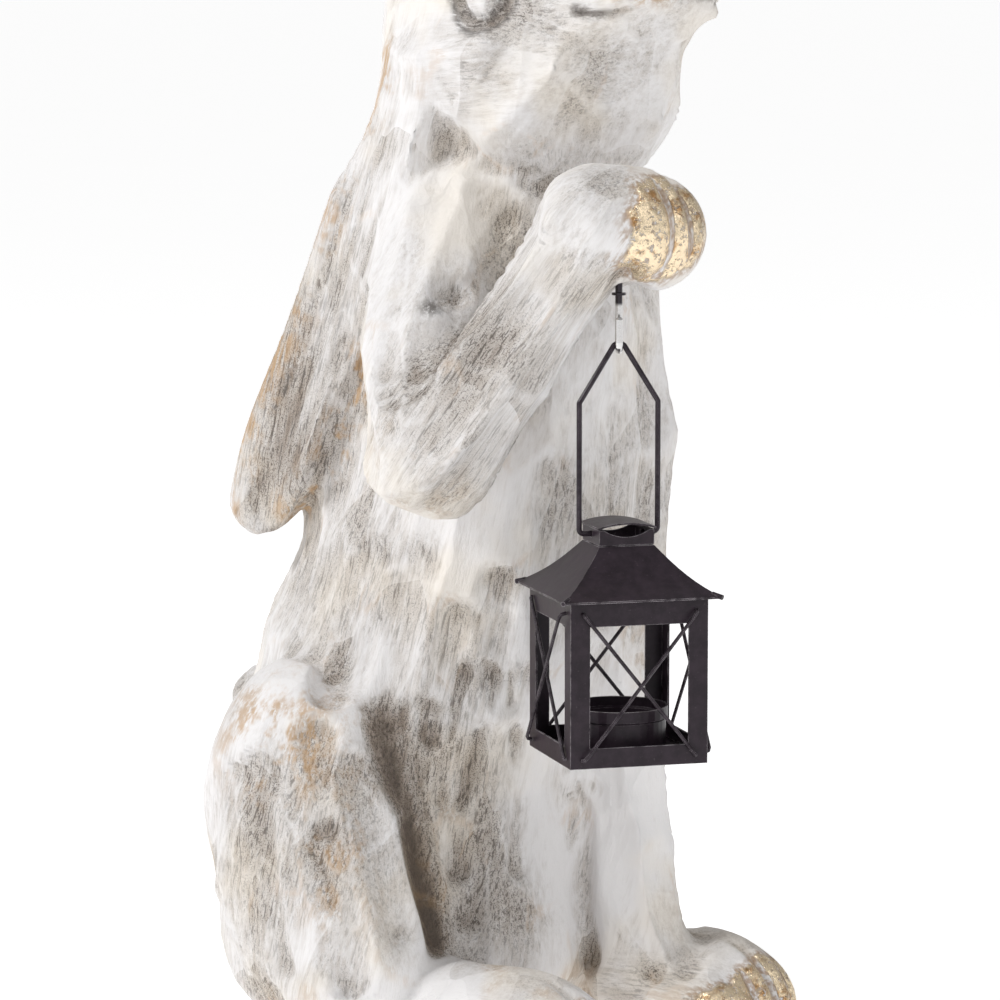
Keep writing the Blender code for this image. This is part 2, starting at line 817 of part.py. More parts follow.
def make_figure(parts, cutters, material, hook_at):
    """The rabbit, sawn off flat at the ground, with the hole that the hook's screw goes into."""
    rabbit = place("rabbit", figure_mesh(CLAY_VOXEL, -SAWN_OFF), parts, material)
    rabbit.data.shade_smooth()
    rabbit.data.calc_loop_triangles()
    thin = rabbit.modifiers.new("Thin", "DECIMATE")
    thin.ratio = FIGURE_TRIANGLES / len(rabbit.data.loop_triangles)
    spread = FIGURE_HEIGHT / 2
    ground = box_mesh("ground", (-spread, -spread, -2 * SAWN_OFF), (spread, spread, 0))
    cut(rabbit, as_cutter(place("ground", ground, cutters, None)))
    bore = rod_mesh(
        "hook_bore",
        HOOK_WIRE / 2 + PIECE_GAP,
        hook_at - Vector((0, 0, CUT_OVERRUN)),
        hook_at + Vector((0, 0, HOOK_SCREW_DEPTH + PIECE_GAP)),
        16,
    )
    cut(rabbit, as_cutter(place("hook_bore", bore, cutters, None)))
    return rabbit


def hook_line():
    """The hook's centre line from the screw's end down the shank, round the bend and up the tip.

    Local frame: origin where the shank leaves the paw, the bend in the local Y-Z plane.
    """
    line = [(0, 0, HOOK_SCREW_DEPTH), (0, 0, -PIECE_GAP * 2)]
    radii = [1.0, 1.0]
    collar = HOOK_COLLAR_RADIUS / (HOOK_WIRE / 2)
    for depth, radius in ((0.0008, collar), (0.0018, collar), (0.0021, 1.0)):
        line.append((0, 0, -depth))
        radii.append(radius)
    for index in range(13):
        turn = math.pi * index / 12
        y = -HOOK_BEND * (1 - math.cos(turn))
        z = -HOOK_DROP - HOOK_BEND * math.sin(turn)
        line.append((0, y, z))
        radii.append(1.0)
    top = -HOOK_DROP + HOOK_TIP_RISE
    line.append((0, -2 * HOOK_BEND, top - HOOK_WIRE * 0.3))
    radii.append(1.0)
    line.append((0, -2 * HOOK_BEND - 0.0001, top))
    radii.append(0.6)
    return line, radii


def bail_line():
    """The bail's centre line, in the lantern's frame with the pivot at the origin."""
    half = BAIL_WIDTH / 2
    inner = COLLAR_WIDTH / 2 - SHEET - 0.0016
    corners = (
        (-inner, 0, 0),
        (-half, 0, 0),
        (-half, 0, BAIL_LEG),
        (0, 0, BAIL_LEG + BAIL_PEAK),
        (half, 0, BAIL_LEG),
        (half, 0, 0),
        (inner, 0, 0),
    )
    apex = (HOOK_WIRE + BAIL_WIRE) / 2 + PIECE_GAP
    return rounded(corners, (BAIL_CORNER, BAIL_CORNER, apex, BAIL_CORNER, BAIL_CORNER))


def make_frame(parts, cutters, material, parent, floor):
    """Four sheet walls, each with one window."""
    half = LANTERN_WIDTH / 2
    top = floor + WALL_HEIGHT
    walls = box_mesh("frame", (-half, -half, floor), (half, half, top))
    frame = place("lantern_frame", walls, parts, material, parent)
    inner = half - SHEET
    hollow = box_mesh(
        "frame_hollow", (-inner, -inner, floor - CUT_OVERRUN), (inner, inner, top + CUT_OVERRUN)
    )
    cut(frame, as_cutter(place("frame_hollow", hollow, cutters, None, parent)))
    window = half - POST_WIDTH
    through = half + CUT_OVERRUN
    low = floor + BOTTOM_RAIL
    high = top - TOP_RAIL
    for name, reach_x, reach_y in (
        ("windows_front_back", window, through),
        ("windows_sides", through, window),
    ):
        opening = box_mesh(name, (-reach_x, -reach_y, low), (reach_x, reach_y, high))
        cut(frame, as_cutter(place(name, opening, cutters, None, parent)))


def make_base(parts, cutters, material, parent, floor):
    """The bottom pan inside the walls, with its round bulge below."""
    half = LANTERN_WIDTH / 2 - SHEET - PIECE_GAP
    low = floor + BASE_BULGE / 2
    pan = box_mesh("pan", (-half, -half, low), (half, half, low + SHEET))
    base = place("lantern_base", pan, parts, material, parent)
    middle = low + SHEET / 2
    shape = bmesh.new()
    lowered = Matrix.Translation((0, 0, middle))
    dish = lowered @ Matrix.Diagonal((BULGE_RADIUS, BULGE_RADIUS, BASE_BULGE, 1))
    bmesh.ops.create_uvsphere(shape, u_segments=28, v_segments=12, radius=1.0, matrix=dish)
    bmesh.ops.bisect_plane(
        shape,
        geom=shape.verts[:] + shape.edges[:] + shape.faces[:],
        plane_co=(0, 0, middle),
        plane_no=(0, 0, 1),
        dist=1e-6,
        clear_outer=True,
    )
    bmesh.ops.holes_fill(shape, edges=shape.edges, sides=0)
    mesh = bpy.data.meshes.new("bulge")
    shape.to_mesh(mesh)
    shape.free()
    cut(base, as_cutter(place("base_bulge", mesh, cutters, None, parent)), "UNION")
    return low + SHEET


def make_cross_wires(parts, material, parent, floor):
    """Two wires crossing over each window, their ends bent in to the frame."""
    half = LANTERN_WIDTH / 2
    side = half - CROSS_INSET_SIDE
    low = floor + CROSS_INSET_BOTTOM
    high = floor + WALL_HEIGHT - CROSS_INSET_TOP
    touch = half + PIECE_GAP
    flat = half + PIECE_GAP + CROSS_WIRE / 2
    over = flat + CROSS_WIRE + PIECE_GAP
    for wall, turn in (("front", 0), ("right", 90), ("back", 180), ("left", 270)):
        around = Matrix.Rotation(math.radians(turn), 4, "Z")
        for name, out, start, end in (("falling", flat, high, low), ("rising", over, low, high)):
            corners = (
                (-side, -touch, start),
                (-side, -out, start),
                (side, -out, end),
                (side, -touch, end),
            )
            bend = (out - touch) * 0.8
            turned = [around @ Vector(at) for at in rounded(corners, (bend, bend), 2)]
            wire(f"wire_{wall}_{name}", turned, CROSS_WIRE, parts, material, parent, sides=2)


def make_roof(parts, cutters, material, parent, eave):
    """The pressed roof: a sagging square slope, hollow below, with a rolled lug at each corner."""
    low = LANTERN_WIDTH / 2 + EAVE_OVERHANG
    high = COLLAR_WIDTH / 2
    corners = ((-1, -1), (1, -1), (1, 1), (-1, 1))
    steps = 8
    shape = bmesh.new()
    rings = []
    for index in range(steps + 1):
        share = index / steps
        half = low + (high - low) * share
        up = eave + ROOF_HEIGHT * share - ROOF_SAG * math.sin(math.pi * share)
        rings.append([shape.verts.new((x * half, y * half, up)) for x, y in corners])
    for below, above in zip(rings[:-1], rings[1:]):
        for k in range(4):
            shape.faces.new((below[k], below[(k + 1) % 4], above[(k + 1) % 4], above[k]))
    mesh = bpy.data.meshes.new("roof")
    shape.to_mesh(mesh)
    shape.free()
    roof = place("lantern_roof", mesh, parts, material, parent)
    shell = roof.modifiers.new("Sheet", "SOLIDIFY")
    shell.thickness = SHEET
    shell.offset = -1.0
    shell.use_even_offset = True
    for index, (x, y) in enumerate(corners):
        inner = Vector((x * (low - 0.0030), y * (low - 0.0030), eave + 0.0010))
        outer = Vector((x * (low + 0.0004), y * (low + 0.0004), eave - 0.0002))
        lug = rod_mesh(f"roof_lug_{index}", ROOF_LUG_RADIUS, inner, outer, 10)
        cut(roof, as_cutter(place(f"roof_lug_{index}", lug, cutters, None, parent)), "UNION")


def make_collar(parts, cutters, material, parent, foot):
    """The square collar: its front and back edges dip to leave the vent, its sides hold the bail."""
    half = COLLAR_WIDTH / 2
    top = foot + COLLAR_HEIGHT
    tube = box_mesh("collar", (-half, -half, foot), (half, half, top))
    collar = place("chimney_collar", tube, parts, material, parent)
    inner = half - SHEET
    hollow = box_mesh(
        "collar_hollow", (-inner, -inner, foot - CUT_OVERRUN), (inner, inner, top + CUT_OVERRUN)
    )
    cut(collar, as_cutter(place("collar_hollow", hollow, cutters, None, parent)))
    reach = inner - 0.0012
    radius = (reach**2 + VENT_DIP**2) / (2 * VENT_DIP)
    middle = top - VENT_DIP + radius
    reach_y = half + CUT_OVERRUN
    dip = rod_mesh("vent_dip", radius, (0, -reach_y, middle), (0, reach_y, middle), 96)
    cut(collar, as_cutter(place("vent_dip", dip, cutters, None, parent)))
    hole_radius = BAIL_WIRE / 2 + BAIL_HOLE_CLEARANCE
    holes = rod_mesh("bail_holes", hole_radius, (-reach_y, 0, 0), (reach_y, 0, 0), 16)
    cut(collar, as_cutter(place("bail_holes", holes, cutters, None, parent)))


def make_cap(parts, material, parent, foot):
    """The arched cap: a strip of sheet bent over the collar from side to side."""
    half = COLLAR_WIDTH / 2 + CAP_OVERHANG
    radius = (half**2 + CAP_RISE**2) / (2 * CAP_RISE)
    sweep = math.asin(half / radius)
    shape = bmesh.new()
    steps = 12
    edges = []
    for index in range(steps + 1):
        turn = sweep * (2 * index / steps - 1)
        x = radius * math.sin(turn)
        z = foot + CAP_RISE - radius * (1 - math.cos(turn))
        edges.append([shape.verts.new((x, y * half, z)) for y in (-1, 1)])
    for left, right in zip(edges[:-1], edges[1:]):
        shape.faces.new((left[0], right[0], right[1], left[1]))
    mesh = bpy.data.meshes.new("cap")
    shape.to_mesh(mesh)
    shape.free()
    cap = place("chimney_cap", mesh, parts, material, parent)
    sheet = cap.modifiers.new("Sheet", "SOLIDIFY")
    sheet.thickness = SHEET
    sheet.offset = 1.0


def make_cup(parts, material, parent, foot):
    """The tealight cup: a turned open cup with a rolled rim and a bead below it."""
    rim = CUP_DIAMETER / 2
    body = rim - CUP_STEP
    top = foot + CUP_HEIGHT
    bead = top - CUP_BEAD_DROP
    profile = (
        (0, foot + SHEET),
        (body - 2 * SHEET, foot + SHEET),
        (body - SHEET, foot + 2 * SHEET),
        (body - SHEET, bead),
        (rim - SHEET, bead + CUP_STEP),
        (rim - SHEET, top),
        (rim, top),
        (rim, bead),
        (body, bead - CUP_STEP),
        (body, foot + SHEET),
        (body - SHEET, foot),
        (0, foot),
    )
    shape = bmesh.new()
    corners = [shape.verts.new((x, 0, z)) for x, z in profile]
    for first, second in zip(corners[:-1], corners[1:]):
        shape.edges.new((first, second))
    mesh = bpy.data.meshes.new("cup")
    shape.to_mesh(mesh)
    shape.free()
    cup = place("tealight_cup", mesh, parts, material, parent)
    turned = cup.modifiers.new("Turn", "SCREW")
    turned.axis = "Z"
    turned.steps = 36
    turned.render_steps = 36
    turned.use_merge_vertices = True
    turned.merge_threshold = 1e-5
    turned.use_normal_calculate = True


def main():
    clear_scene()
    parts = new_collection("easter_bunny")
    cutters = new_collection("cutters")
    cast = paint("washed_resin", (0.72, 0.69, 0.66), 0.75, 0.0)
    black = paint("black_sheet", (0.035, 0.028, 0.033), 0.45, 0.6)
    bright = paint("bright_steel", (0.62, 0.61, 0.60), 0.25, 1.0)

    hook_at = Vector(HOOK_PLACE) * UNIT
    make_figure(parts, cutters, cast, hook_at)

    hook_frame = bpy.data.objects.new("hook_frame", None)
    parts.objects.link(hook_frame)
    hook_frame.location = hook_at
    hook_frame.rotation_euler = (0, 0, math.radians(HOOK_YAW))
    line, radii = hook_line()
    wire("screw_hook", line, HOOK_WIRE, parts, bright, hook_frame, radii)

    seat = Matrix.Rotation(math.radians(HOOK_YAW), 3, "Z") @ Vector((0, -HOOK_BEND, 0))
    bend_top = hook_at.z - HOOK_DROP - HOOK_BEND + HOOK_WIRE / 2
    peak = bend_top + PIECE_GAP + BAIL_WIRE / 2
    pivot = bpy.data.objects.new("bail_pivot", None)
    parts.objects.link(pivot)
    bail = bail_line()
    drop = max(at.z for at in bail)
    pivot.location = (hook_at.x + seat.x, hook_at.y + seat.y, peak - drop)
    pivot.rotation_euler = (0, 0, math.radians(LANTERN_YAW))

    wire("bail", bail, BAIL_WIRE, parts, black, pivot)
    eave = -PIVOT_ABOVE_ROOF - ROOF_HEIGHT
    floor = eave - WALL_HEIGHT
    make_frame(parts, cutters, black, pivot, floor)
    inside = make_base(parts, cutters, black, pivot, floor)
    make_cross_wires(parts, black, pivot, floor)
    make_roof(parts, cutters, black, pivot, eave)
    make_collar(parts, cutters, black, pivot, -PIVOT_ABOVE_ROOF + PIECE_GAP)
    make_cap(parts, black, pivot, -PIVOT_ABOVE_ROOF + COLLAR_HEIGHT + 2 * PIECE_GAP)
    make_cup(parts, black, pivot, inside + PIECE_GAP)


main()
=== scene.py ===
"""The looks of the carved rabbit figurine and its tealight lantern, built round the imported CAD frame."""

import math

import bmesh
import bpy
import numpy as np
from mathutils import Matrix, Vector, kdtree


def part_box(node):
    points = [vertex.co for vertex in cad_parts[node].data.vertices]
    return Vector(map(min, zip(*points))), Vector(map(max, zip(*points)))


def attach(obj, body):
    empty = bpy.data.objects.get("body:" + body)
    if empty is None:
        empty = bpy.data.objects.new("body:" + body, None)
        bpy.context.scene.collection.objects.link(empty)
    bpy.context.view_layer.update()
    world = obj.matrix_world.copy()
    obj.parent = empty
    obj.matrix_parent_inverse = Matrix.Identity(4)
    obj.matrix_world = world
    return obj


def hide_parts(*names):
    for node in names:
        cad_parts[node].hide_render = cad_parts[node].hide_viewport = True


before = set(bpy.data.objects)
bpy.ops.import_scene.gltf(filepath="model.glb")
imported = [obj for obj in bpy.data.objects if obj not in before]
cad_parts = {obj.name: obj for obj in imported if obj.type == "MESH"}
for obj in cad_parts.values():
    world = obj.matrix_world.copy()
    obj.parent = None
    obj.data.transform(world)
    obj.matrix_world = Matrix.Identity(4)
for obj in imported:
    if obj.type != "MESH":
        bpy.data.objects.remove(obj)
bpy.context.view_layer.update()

# The figure's forms, carving and scale are those of its solid
FIGURE_HEIGHT = 0.530
CROWN = 524.8
UNIT = FIGURE_HEIGHT / CROWN
CLAY_VOXEL = 2.35


def unit_vector(values):
    """The values as a numpy vector of length 1."""
    vector = np.array(values, float)
    return vector / np.linalg.norm(vector)


# Clay: the figure's masses, before they are melted together.
# A form is a run of stations, each a centre and radii. Clay fills the smooth curve between them.
TORSO = (
    ((0, 51, 46), (86, 87, 62)),
    ((0, 52, 108), (80, 85, 56)),
    ((0, 40, 160), (72, 86, 50)),
    ((0, 18, 215), (65, 82, 50)),
    ((0, 6, 270), (58, 74, 48)),
    ((0, -2, 325), (52, 66, 45)),
    ((0, -6, 372), (46, 56, 42)),
    ((0, -8, 420), (44, 50, 40)),
)
NAPE = (
    ((0, 66, 250), (56, 42, 44)),
    ((0, 46, 310), (50, 42, 44)),
    ((0, 28, 370), (46, 40, 44)),
    ((0, 16, 430), (44, 36, 44)),
)
SKULL = (
    ((0, 12, 458), (42, 34, 50)),
    ((0, -18, 466), (49, 42, 58)),
    ((0, -48, 465), (43, 38, 50)),
    ((0, -72, 462), (34, 30, 39)),
    ((0, -88, 463), (24, 20, 27)),
)
JAW = (
    ((0, -14, 410), (46, 44, 44)),
    ((0, -42, 406), (42, 38, 38)),
    ((0, -60, 416), (34, 31, 38)),
    ((0, -76, 432), (24, 25, 27)),
)
CHEEK = (
    ((26, -16, 432), (28, 36, 44)),
    ((27, -38, 424), (26, 34, 40)),
    ((20, -66, 443), (17, 25, 26)),
    ((12, -91, 461), (15, 18, 16)),
)
HAUNCH = (
    ((72, 54, 72), (34, 42, 64)),
    ((78, 45, 90), (36, 47, 78)),
    ((80, 30, 72), (33, 44, 62)),
    ((80, 18, 50), (30, 40, 50)),
)
HIND_FOOT = (
    ((62, 10, 14), (28, 32, 28)),
    ((59, -36, 13), (26, 32, 27)),
    ((58, -68, 14), (27, 34, 28)),
    ((58, -84, 12), (26, 28, 25)),
)
RAISED_FORELEG = (
    ((-34, -2, 342), (34, 40, 44)),
    ((-62, -18, 304), (30, 32, 38)),
    ((-84, -40, 268), (25, 26, 27)),
    ((-76, -70, 304), (21, 22, 25)),
    ((-60, -96, 348), (20, 21, 22)),
    ((-54, -104, 364), (20, 21, 22)),
)
RAISED_PAW = (
    ((-56, -104, 363), (23, 22, 22)),
    ((-44, -113, 363), (24, 22, 22)),
    ((-34, -116, 360), (21, 20, 21)),
)
PLANTED_FORELEG = (
    ((35, -16, 322), (34, 38, 44)),
    ((36, -32, 240), (27, 29, 34)),
    ((35, -40, 150), (21, 23, 28)),
    ((35, -43, 80), (20, 22, 24)),
    ((37, -54, 26), (22, 25, 20)),
)
PLANTED_PAW = (
    ((39, -62, 14), (24, 26, 19)),
    ((41, -84, 12), (24, 25, 18)),
)
NOSE = (
    ((0, -100, 480), (12, 10, 9)),
    ((0, -105, 476), (9, 8, 7)),
)
TAIL = (
    ((0, 128, 112), (19, 18, 20)),
    ((0, 146, 123), (18, 19, 21)),
)
SINGLE_FORMS = (
    TORSO,
    NAPE,
    SKULL,
    JAW,
    NOSE,
    TAIL,
    RAISED_FORELEG,
    RAISED_PAW,
    PLANTED_FORELEG,
    PLANTED_PAW,
)
PAIRED_FORMS = (CHEEK, HAUNCH, HIND_FOOT)
# The left ear's stations, mirrored for the right: centre, half width, half thickness, half length.
EAR = (
    ((20, -2, 498), 17, 13, 14),
    ((35, -2, 470), 16, 11, 14),
    ((45, 6, 424), 17, 10, 16),
    ((51, 28, 364), 21, 9, 16),
    ((54, 47, 312), 25, 9, 16),
    ((56, 71, 262), 27, 9, 16),
    ((54, 91, 232), 18, 8, 13),
)
EAR_TURN = 12.0
EAR_SQUARENESS = 5.0
# How many beads of clay fill the curve from one station to the next
BEADS = 8
# Creases are filled like a thumb would, so many passes at a voxel of so much
SOFTENING_PASSES = 36
SOFTENING_VOXEL = 3.0
CONVEX_SHARE = 0.03

# Carving, in figure units: chisel cuts all over, then broad strokes
STROKE_DEPTH = 1.35
CUT_SPACING = 22
CUT_WIDTH = 19
CUT_LENGTH = 52
CUT_DEPTH = 6.5
SEED_REACH = 12
# Cuts overlap by this share of their ellipse before one is left out, and this level stays as it was
CUT_CROWDING = 0.72
CUT_LEVEL = 0.45
# The part of a groove that runs out at each end
GROOVE_TAPER = 0.25
# The raised paw's front, a part of a circle in plan
RAISED_TOES_Y = -115
RAISED_TOES_RADIUS = 22
# Limbs whittled to flat sides: how many sides, and the turn of the first in degrees
WHITTLED_LIMBS = ((RAISED_FORELEG[1:], 5, 0.8), (PLANTED_FORELEG, 6, 20.0))
# The eyes, the mouth's left half and the nose, in figure units
EYE = (49.5, -33.0, 458.0)
EYEBALL_RADIUS = 10.5
EYEBALL_RISE = 3.6
SOCKET_RADIUS = 13
SOCKET_WIDTH = 3.5
SOCKET_DEPTH = 2.6
MOUTH = ((0, -110, 459), (20, -107, 454), (26, -100, 450.5), (29.5, -88, 449), (33.5, -74, 451))
LIP_DROP = 6
NOSTRIL = ((3, -112, 470), (10, -112, 474), (14, -104, 481))
PHILTRUM = ((0, -114, 471), (0, -112, 465), (0, -106, 459))
# Creases between the limbs on both sides: where each runs, its width and its depth
PAIRED_CREASES = (
    (((66, -12, 150), (74, -26, 118), (72, -40, 88), (66, -46, 62)), 13, 6),
    (((44, -10, 398), (38, -34, 382), (24, -58, 372), (0, -74, 366)), 11, 3),
    (((46, 16, 390), (48, 30, 350), (50, 40, 310), (52, 56, 260)), 8, 3),
)
SINGLE_CREASES = (
    (((-76, -22, 326), (-66, -46, 340), (-54, -66, 362), (-46, -78, 378)), 10, 5),
    (((6, -76, 300), (8, -74, 240), (12, -72, 180), (14, -68, 110)), 12, 6),
)
# Broad gouge strokes in figure units: where each runs from top to bottom, its half width and depth
RIGHT_STROKES = (
    (((-56, -15, 372), (-80, -18, 334), (-94, -22, 300)), 11, 3.0),
    (((-45, -34, 365), (-67, -34, 334), (-91, -38, 304)), 15, 3.4),
    (((-34, -43, 359), (-53, -44, 334), (-86, -46, 310)), 13, 3.2),
    (((-52, -22, 190), (-51, -16, 164), (-51, -13, 139)), 13, 4.0),
    (((-44, -26, 162), (-42, -22, 137), (-45, -16, 110)), 12, 4.2),
    (((-44, -40, 207), (-40, -34, 177), (-32, -33, 152)), 11, 3.6),
    (((-57, -8, 148), (-52, -8, 115), (-45, -16, 78)), 10, 3.6),
    (((-30, -30, 133), (-37, -20, 96), (-42, -20, 59)), 14, 4.2),
    (((-22, -40, 163), (-16, -34, 117), (-18, -29, 78)), 12, 3.6),
    (((16, -39, 108), (14, -37, 73), (19, -38, 34)), 11, 3.0),
    (((19, -53, 92), (20, -57, 62), (22, -71, 33)), 11, 3.0),
    (((-64, 16, 214), (-67, 30, 182), (-85, 21, 159)), 13, 3.0),
    (((-59, -8, 216), (-61, 2, 180), (-64, 4, 145)), 13, 3.2),
    (((-26, -59, 252), (-27, -56, 217), (-21, -48, 181)), 13, 3.2),
    (((0, -65, 276), (0, -65, 233), (9, -56, 187)), 14, 2.8),
)
PAIRED_STROKES = (
    (((59, 5, 410), (66, 39, 313), (69, 79, 235)), 22, 2.6),
    (((67, 18, 323), (61, 41, 273), (42, 82, 227)), 13, 4.5),
    (((110, 53, 120), (110, 61, 87), (99, 62, 41)), 8, 2.2),
    (((112, 40, 123), (112, 35, 89), (107, 27, 41)), 12, 3.0),
    (((107, 27, 122), (107, 15, 98), (107, 4, 71)), 9, 2.6),
    (((99, 16, 141), (100, 13, 123), (101, 8, 104)), 10, 3.0),
    (((101, 6, 98), (103, -6, 74), (104, -10, 37)), 12, 3.0),
    (((89, 0, 124), (86, -8, 93), (84, -19, 60)), 13, 3.2),
    (((27, -85, 434), (33, -69, 409), (34, -48, 388)), 16, 2.6),
    (((51, -59, 430), (49, -33, 408), (43, -12, 391)), 14, 2.4),
    (((10, -101, 426), (14, -91, 405), (16, -76, 389)), 14, 2.6),
)

# Where stain, rust and gold lie, and where the figure is made darker or lighter, in figure units: how
# strong, the centre and the radii.
# The paired places are on both sides.
PAIRED_OCHRE = (
    (1.3, (104, 34, 140), (40, 60, 46)),
    (0.9, (104, 0, 96), (36, 34, 60)),
    (1.2, (22, -102, 460), (24, 24, 13)),
)
SINGLE_OCHRE = (
    (0.7, (-84, -34, 262), (36, 36, 40)),
    (0.9, (24, -72, 190), (30, 30, 60)),
)
# The ears' rims: the side of the ear, its stations and the reach of the rust
OCHRE_RIMS = ((-0.95, EAR[4:], 12), (1.0, EAR[2:], 18))
PAIRED_DIM = (
    (1.8, (72, 66, 290), (34, 70, 140)),
    (0.9, (104, 30, 90), (60, 90, 110)),
)
SINGLE_DIM = (
    (0.8, (-90, -60, 295), (44, 60, 90)),
    (0.8, (-66, -116, 379), (30, 34, 26)),
    (0.5, (-50, -58, 350), (24, 30, 44)),
    (1.0, (-70, -112, 338), (30, 22, 24)),
    (1.6, (-34, -40, 66), (44, 40, 60)),
    (0.35, (-44, -24, 168), (26, 30, 34)),
    (0.6, (-50, -18, 128), (24, 30, 40)),
    (0.45, (8, -64, 200), (40, 40, 90)),
)
# Painted light, lightening places where shade falls on the figure: how strong, the centre and the radii
PAINTED_LIGHT_PLACES = (
    (0.8, (-72, -10, 350), (44, 40, 90)),
    (1.3, (-45, -20, 372), (38, 40, 44)),
    (0.8, (-50, -30, 235), (50, 60, 90)),
    (1.3, (20, -50, 100), (60, 60, 120)),
    (0.8, (-100, 22, 154), (44, 50, 30)),
)
# The haunch's crease, darkened by painted shade with stain
HAUNCH_CREASE = ((68, 6, 144), (65, 1, 119), (62, -5, 94), (59, -14, 50))
# The crease behind the raised foreleg, darkened by painted shade with stain
FORELEG_CREASE = ((-78, -24, 322), (-68, -46, 338), (-56, -66, 360), (-48, -78, 376))
RAISED_GOLD = ((-42, -132, 364), (36, 30, 42))
HIND_GOLD = ((58, -108, 20), (42, 30, 34))
PLANTED_GOLD = ((41, -104, 14), (40, 24, 26))
CALM_HEAD = ((0, -60, 430), (120, 130, 110))
# Rings of stain round the eye: their radii and strengths
EYE_RINGS = ((EYEBALL_RADIUS, 1.0), (13.5, 0.5), (17.0, 0.9))


def curve_through(stations, share):
    """The point at a share of the way along a Catmull-Rom curve through rows of numbers."""
    rows = np.array(stations, float)
    last = len(rows) - 1
    place = min(share * last, last - 1e-9)
    step = int(place)
    t = place - step
    before = rows[max(step - 1, 0)]
    here = rows[step]
    there = rows[step + 1]
    after = rows[min(step + 2, last)]
    slope_here = (there - before) / 2
    slope_there = (after - here) / 2
    return (
        here * (2 * t**3 - 3 * t**2 + 1)
        + slope_here * (t**3 - 2 * t**2 + t)
        + there * (3 * t**2 - 2 * t**3)
        + slope_there * (t**3 - t**2)
    )


def on_side(places, side):
    """A path on the left side at 1 or mirrored to the right side at -1."""
    return tuple((side * x, y, z) for x, y, z in places)


def mirrored(stations, side):
    """A form's stations as rows of numbers, on the left side at 1 or the right side at -1."""
    return [(side * centre[0], *centre[1:], *radii) for centre, radii in stations]


def round_bead():
    """A ball of radius 1, the bead that every form is made of."""
    shape = bmesh.new()
    bmesh.ops.create_icosphere(shape, subdivisions=3, radius=1.0)
    mesh = bpy.data.meshes.new("bead")
    shape.to_mesh(mesh)
    shape.free()
    return mesh


def squared_bead(power):
    """A bead with the plan of a rounded square, for slabs with crisp edges."""
    mesh = round_bead()
    for vertex in mesh.vertices:
        x, y, z = vertex.co
        plan = (abs(x) ** power + abs(y) ** power) ** (2 / power)
        vertex.co = vertex.co / math.sqrt(plan + z * z)
    return mesh


def add_form(clay, bead, rows, turn=0.0):
    """A form of clay: ellipsoids close together on the curve through its rows."""
    count = BEADS * (len(rows) - 1)
    turned = Matrix.Rotation(math.radians(turn), 4, "Z")
    for index in range(count + 1):
        row = curve_through(rows, index / count)
        squeezed = bead.copy()
        squeezed.transform(turned @ Matrix.Diagonal((*row[3:], 1.0)))
        squeezed.transform(Matrix.Translation(row[:3]))
        clay.from_mesh(squeezed)
        bpy.data.meshes.remove(squeezed)


def ear_rows(side):
    """One ear's stations as rows of numbers."""
    return [(side * at[0], *at[1:], thick, wide, long) for at, wide, thick, long in EAR]


def build_clay():
    """All the forms of the figure, as overlapping closed shells in one bmesh, in figure units."""
    clay = bmesh.new()
    bead = round_bead()
    slab_bead = squared_bead(EAR_SQUARENESS)
    for stations in SINGLE_FORMS:
        add_form(clay, bead, mirrored(stations, 1))
    for side in (-1, 1):
        for stations in PAIRED_FORMS:
            add_form(clay, bead, mirrored(stations, side))
        add_form(clay, slab_bead, ear_rows(side), side * EAR_TURN)
    bpy.data.meshes.remove(bead)
    bpy.data.meshes.remove(slab_bead)
    return clay


def melted(clay, voxel):
    """One skin over all the clay, by a voxel remesh, as a mesh in figure units."""
    mesh = bpy.data.meshes.new("clay")
    clay.to_mesh(mesh)
    clay.free()
    lump = bpy.data.objects.new("clay", mesh)
    bpy.context.scene.collection.objects.link(lump)
    remesh = lump.modifiers.new("Melt", "REMESH")
    remesh.mode = "VOXEL"
    remesh.voxel_size = voxel
    graph = bpy.context.evaluated_depsgraph_get()
    skin = bpy.data.meshes.new_from_object(lump.evaluated_get(graph))
    bpy.data.objects.remove(lump)
    bpy.data.meshes.remove(mesh)
    return skin


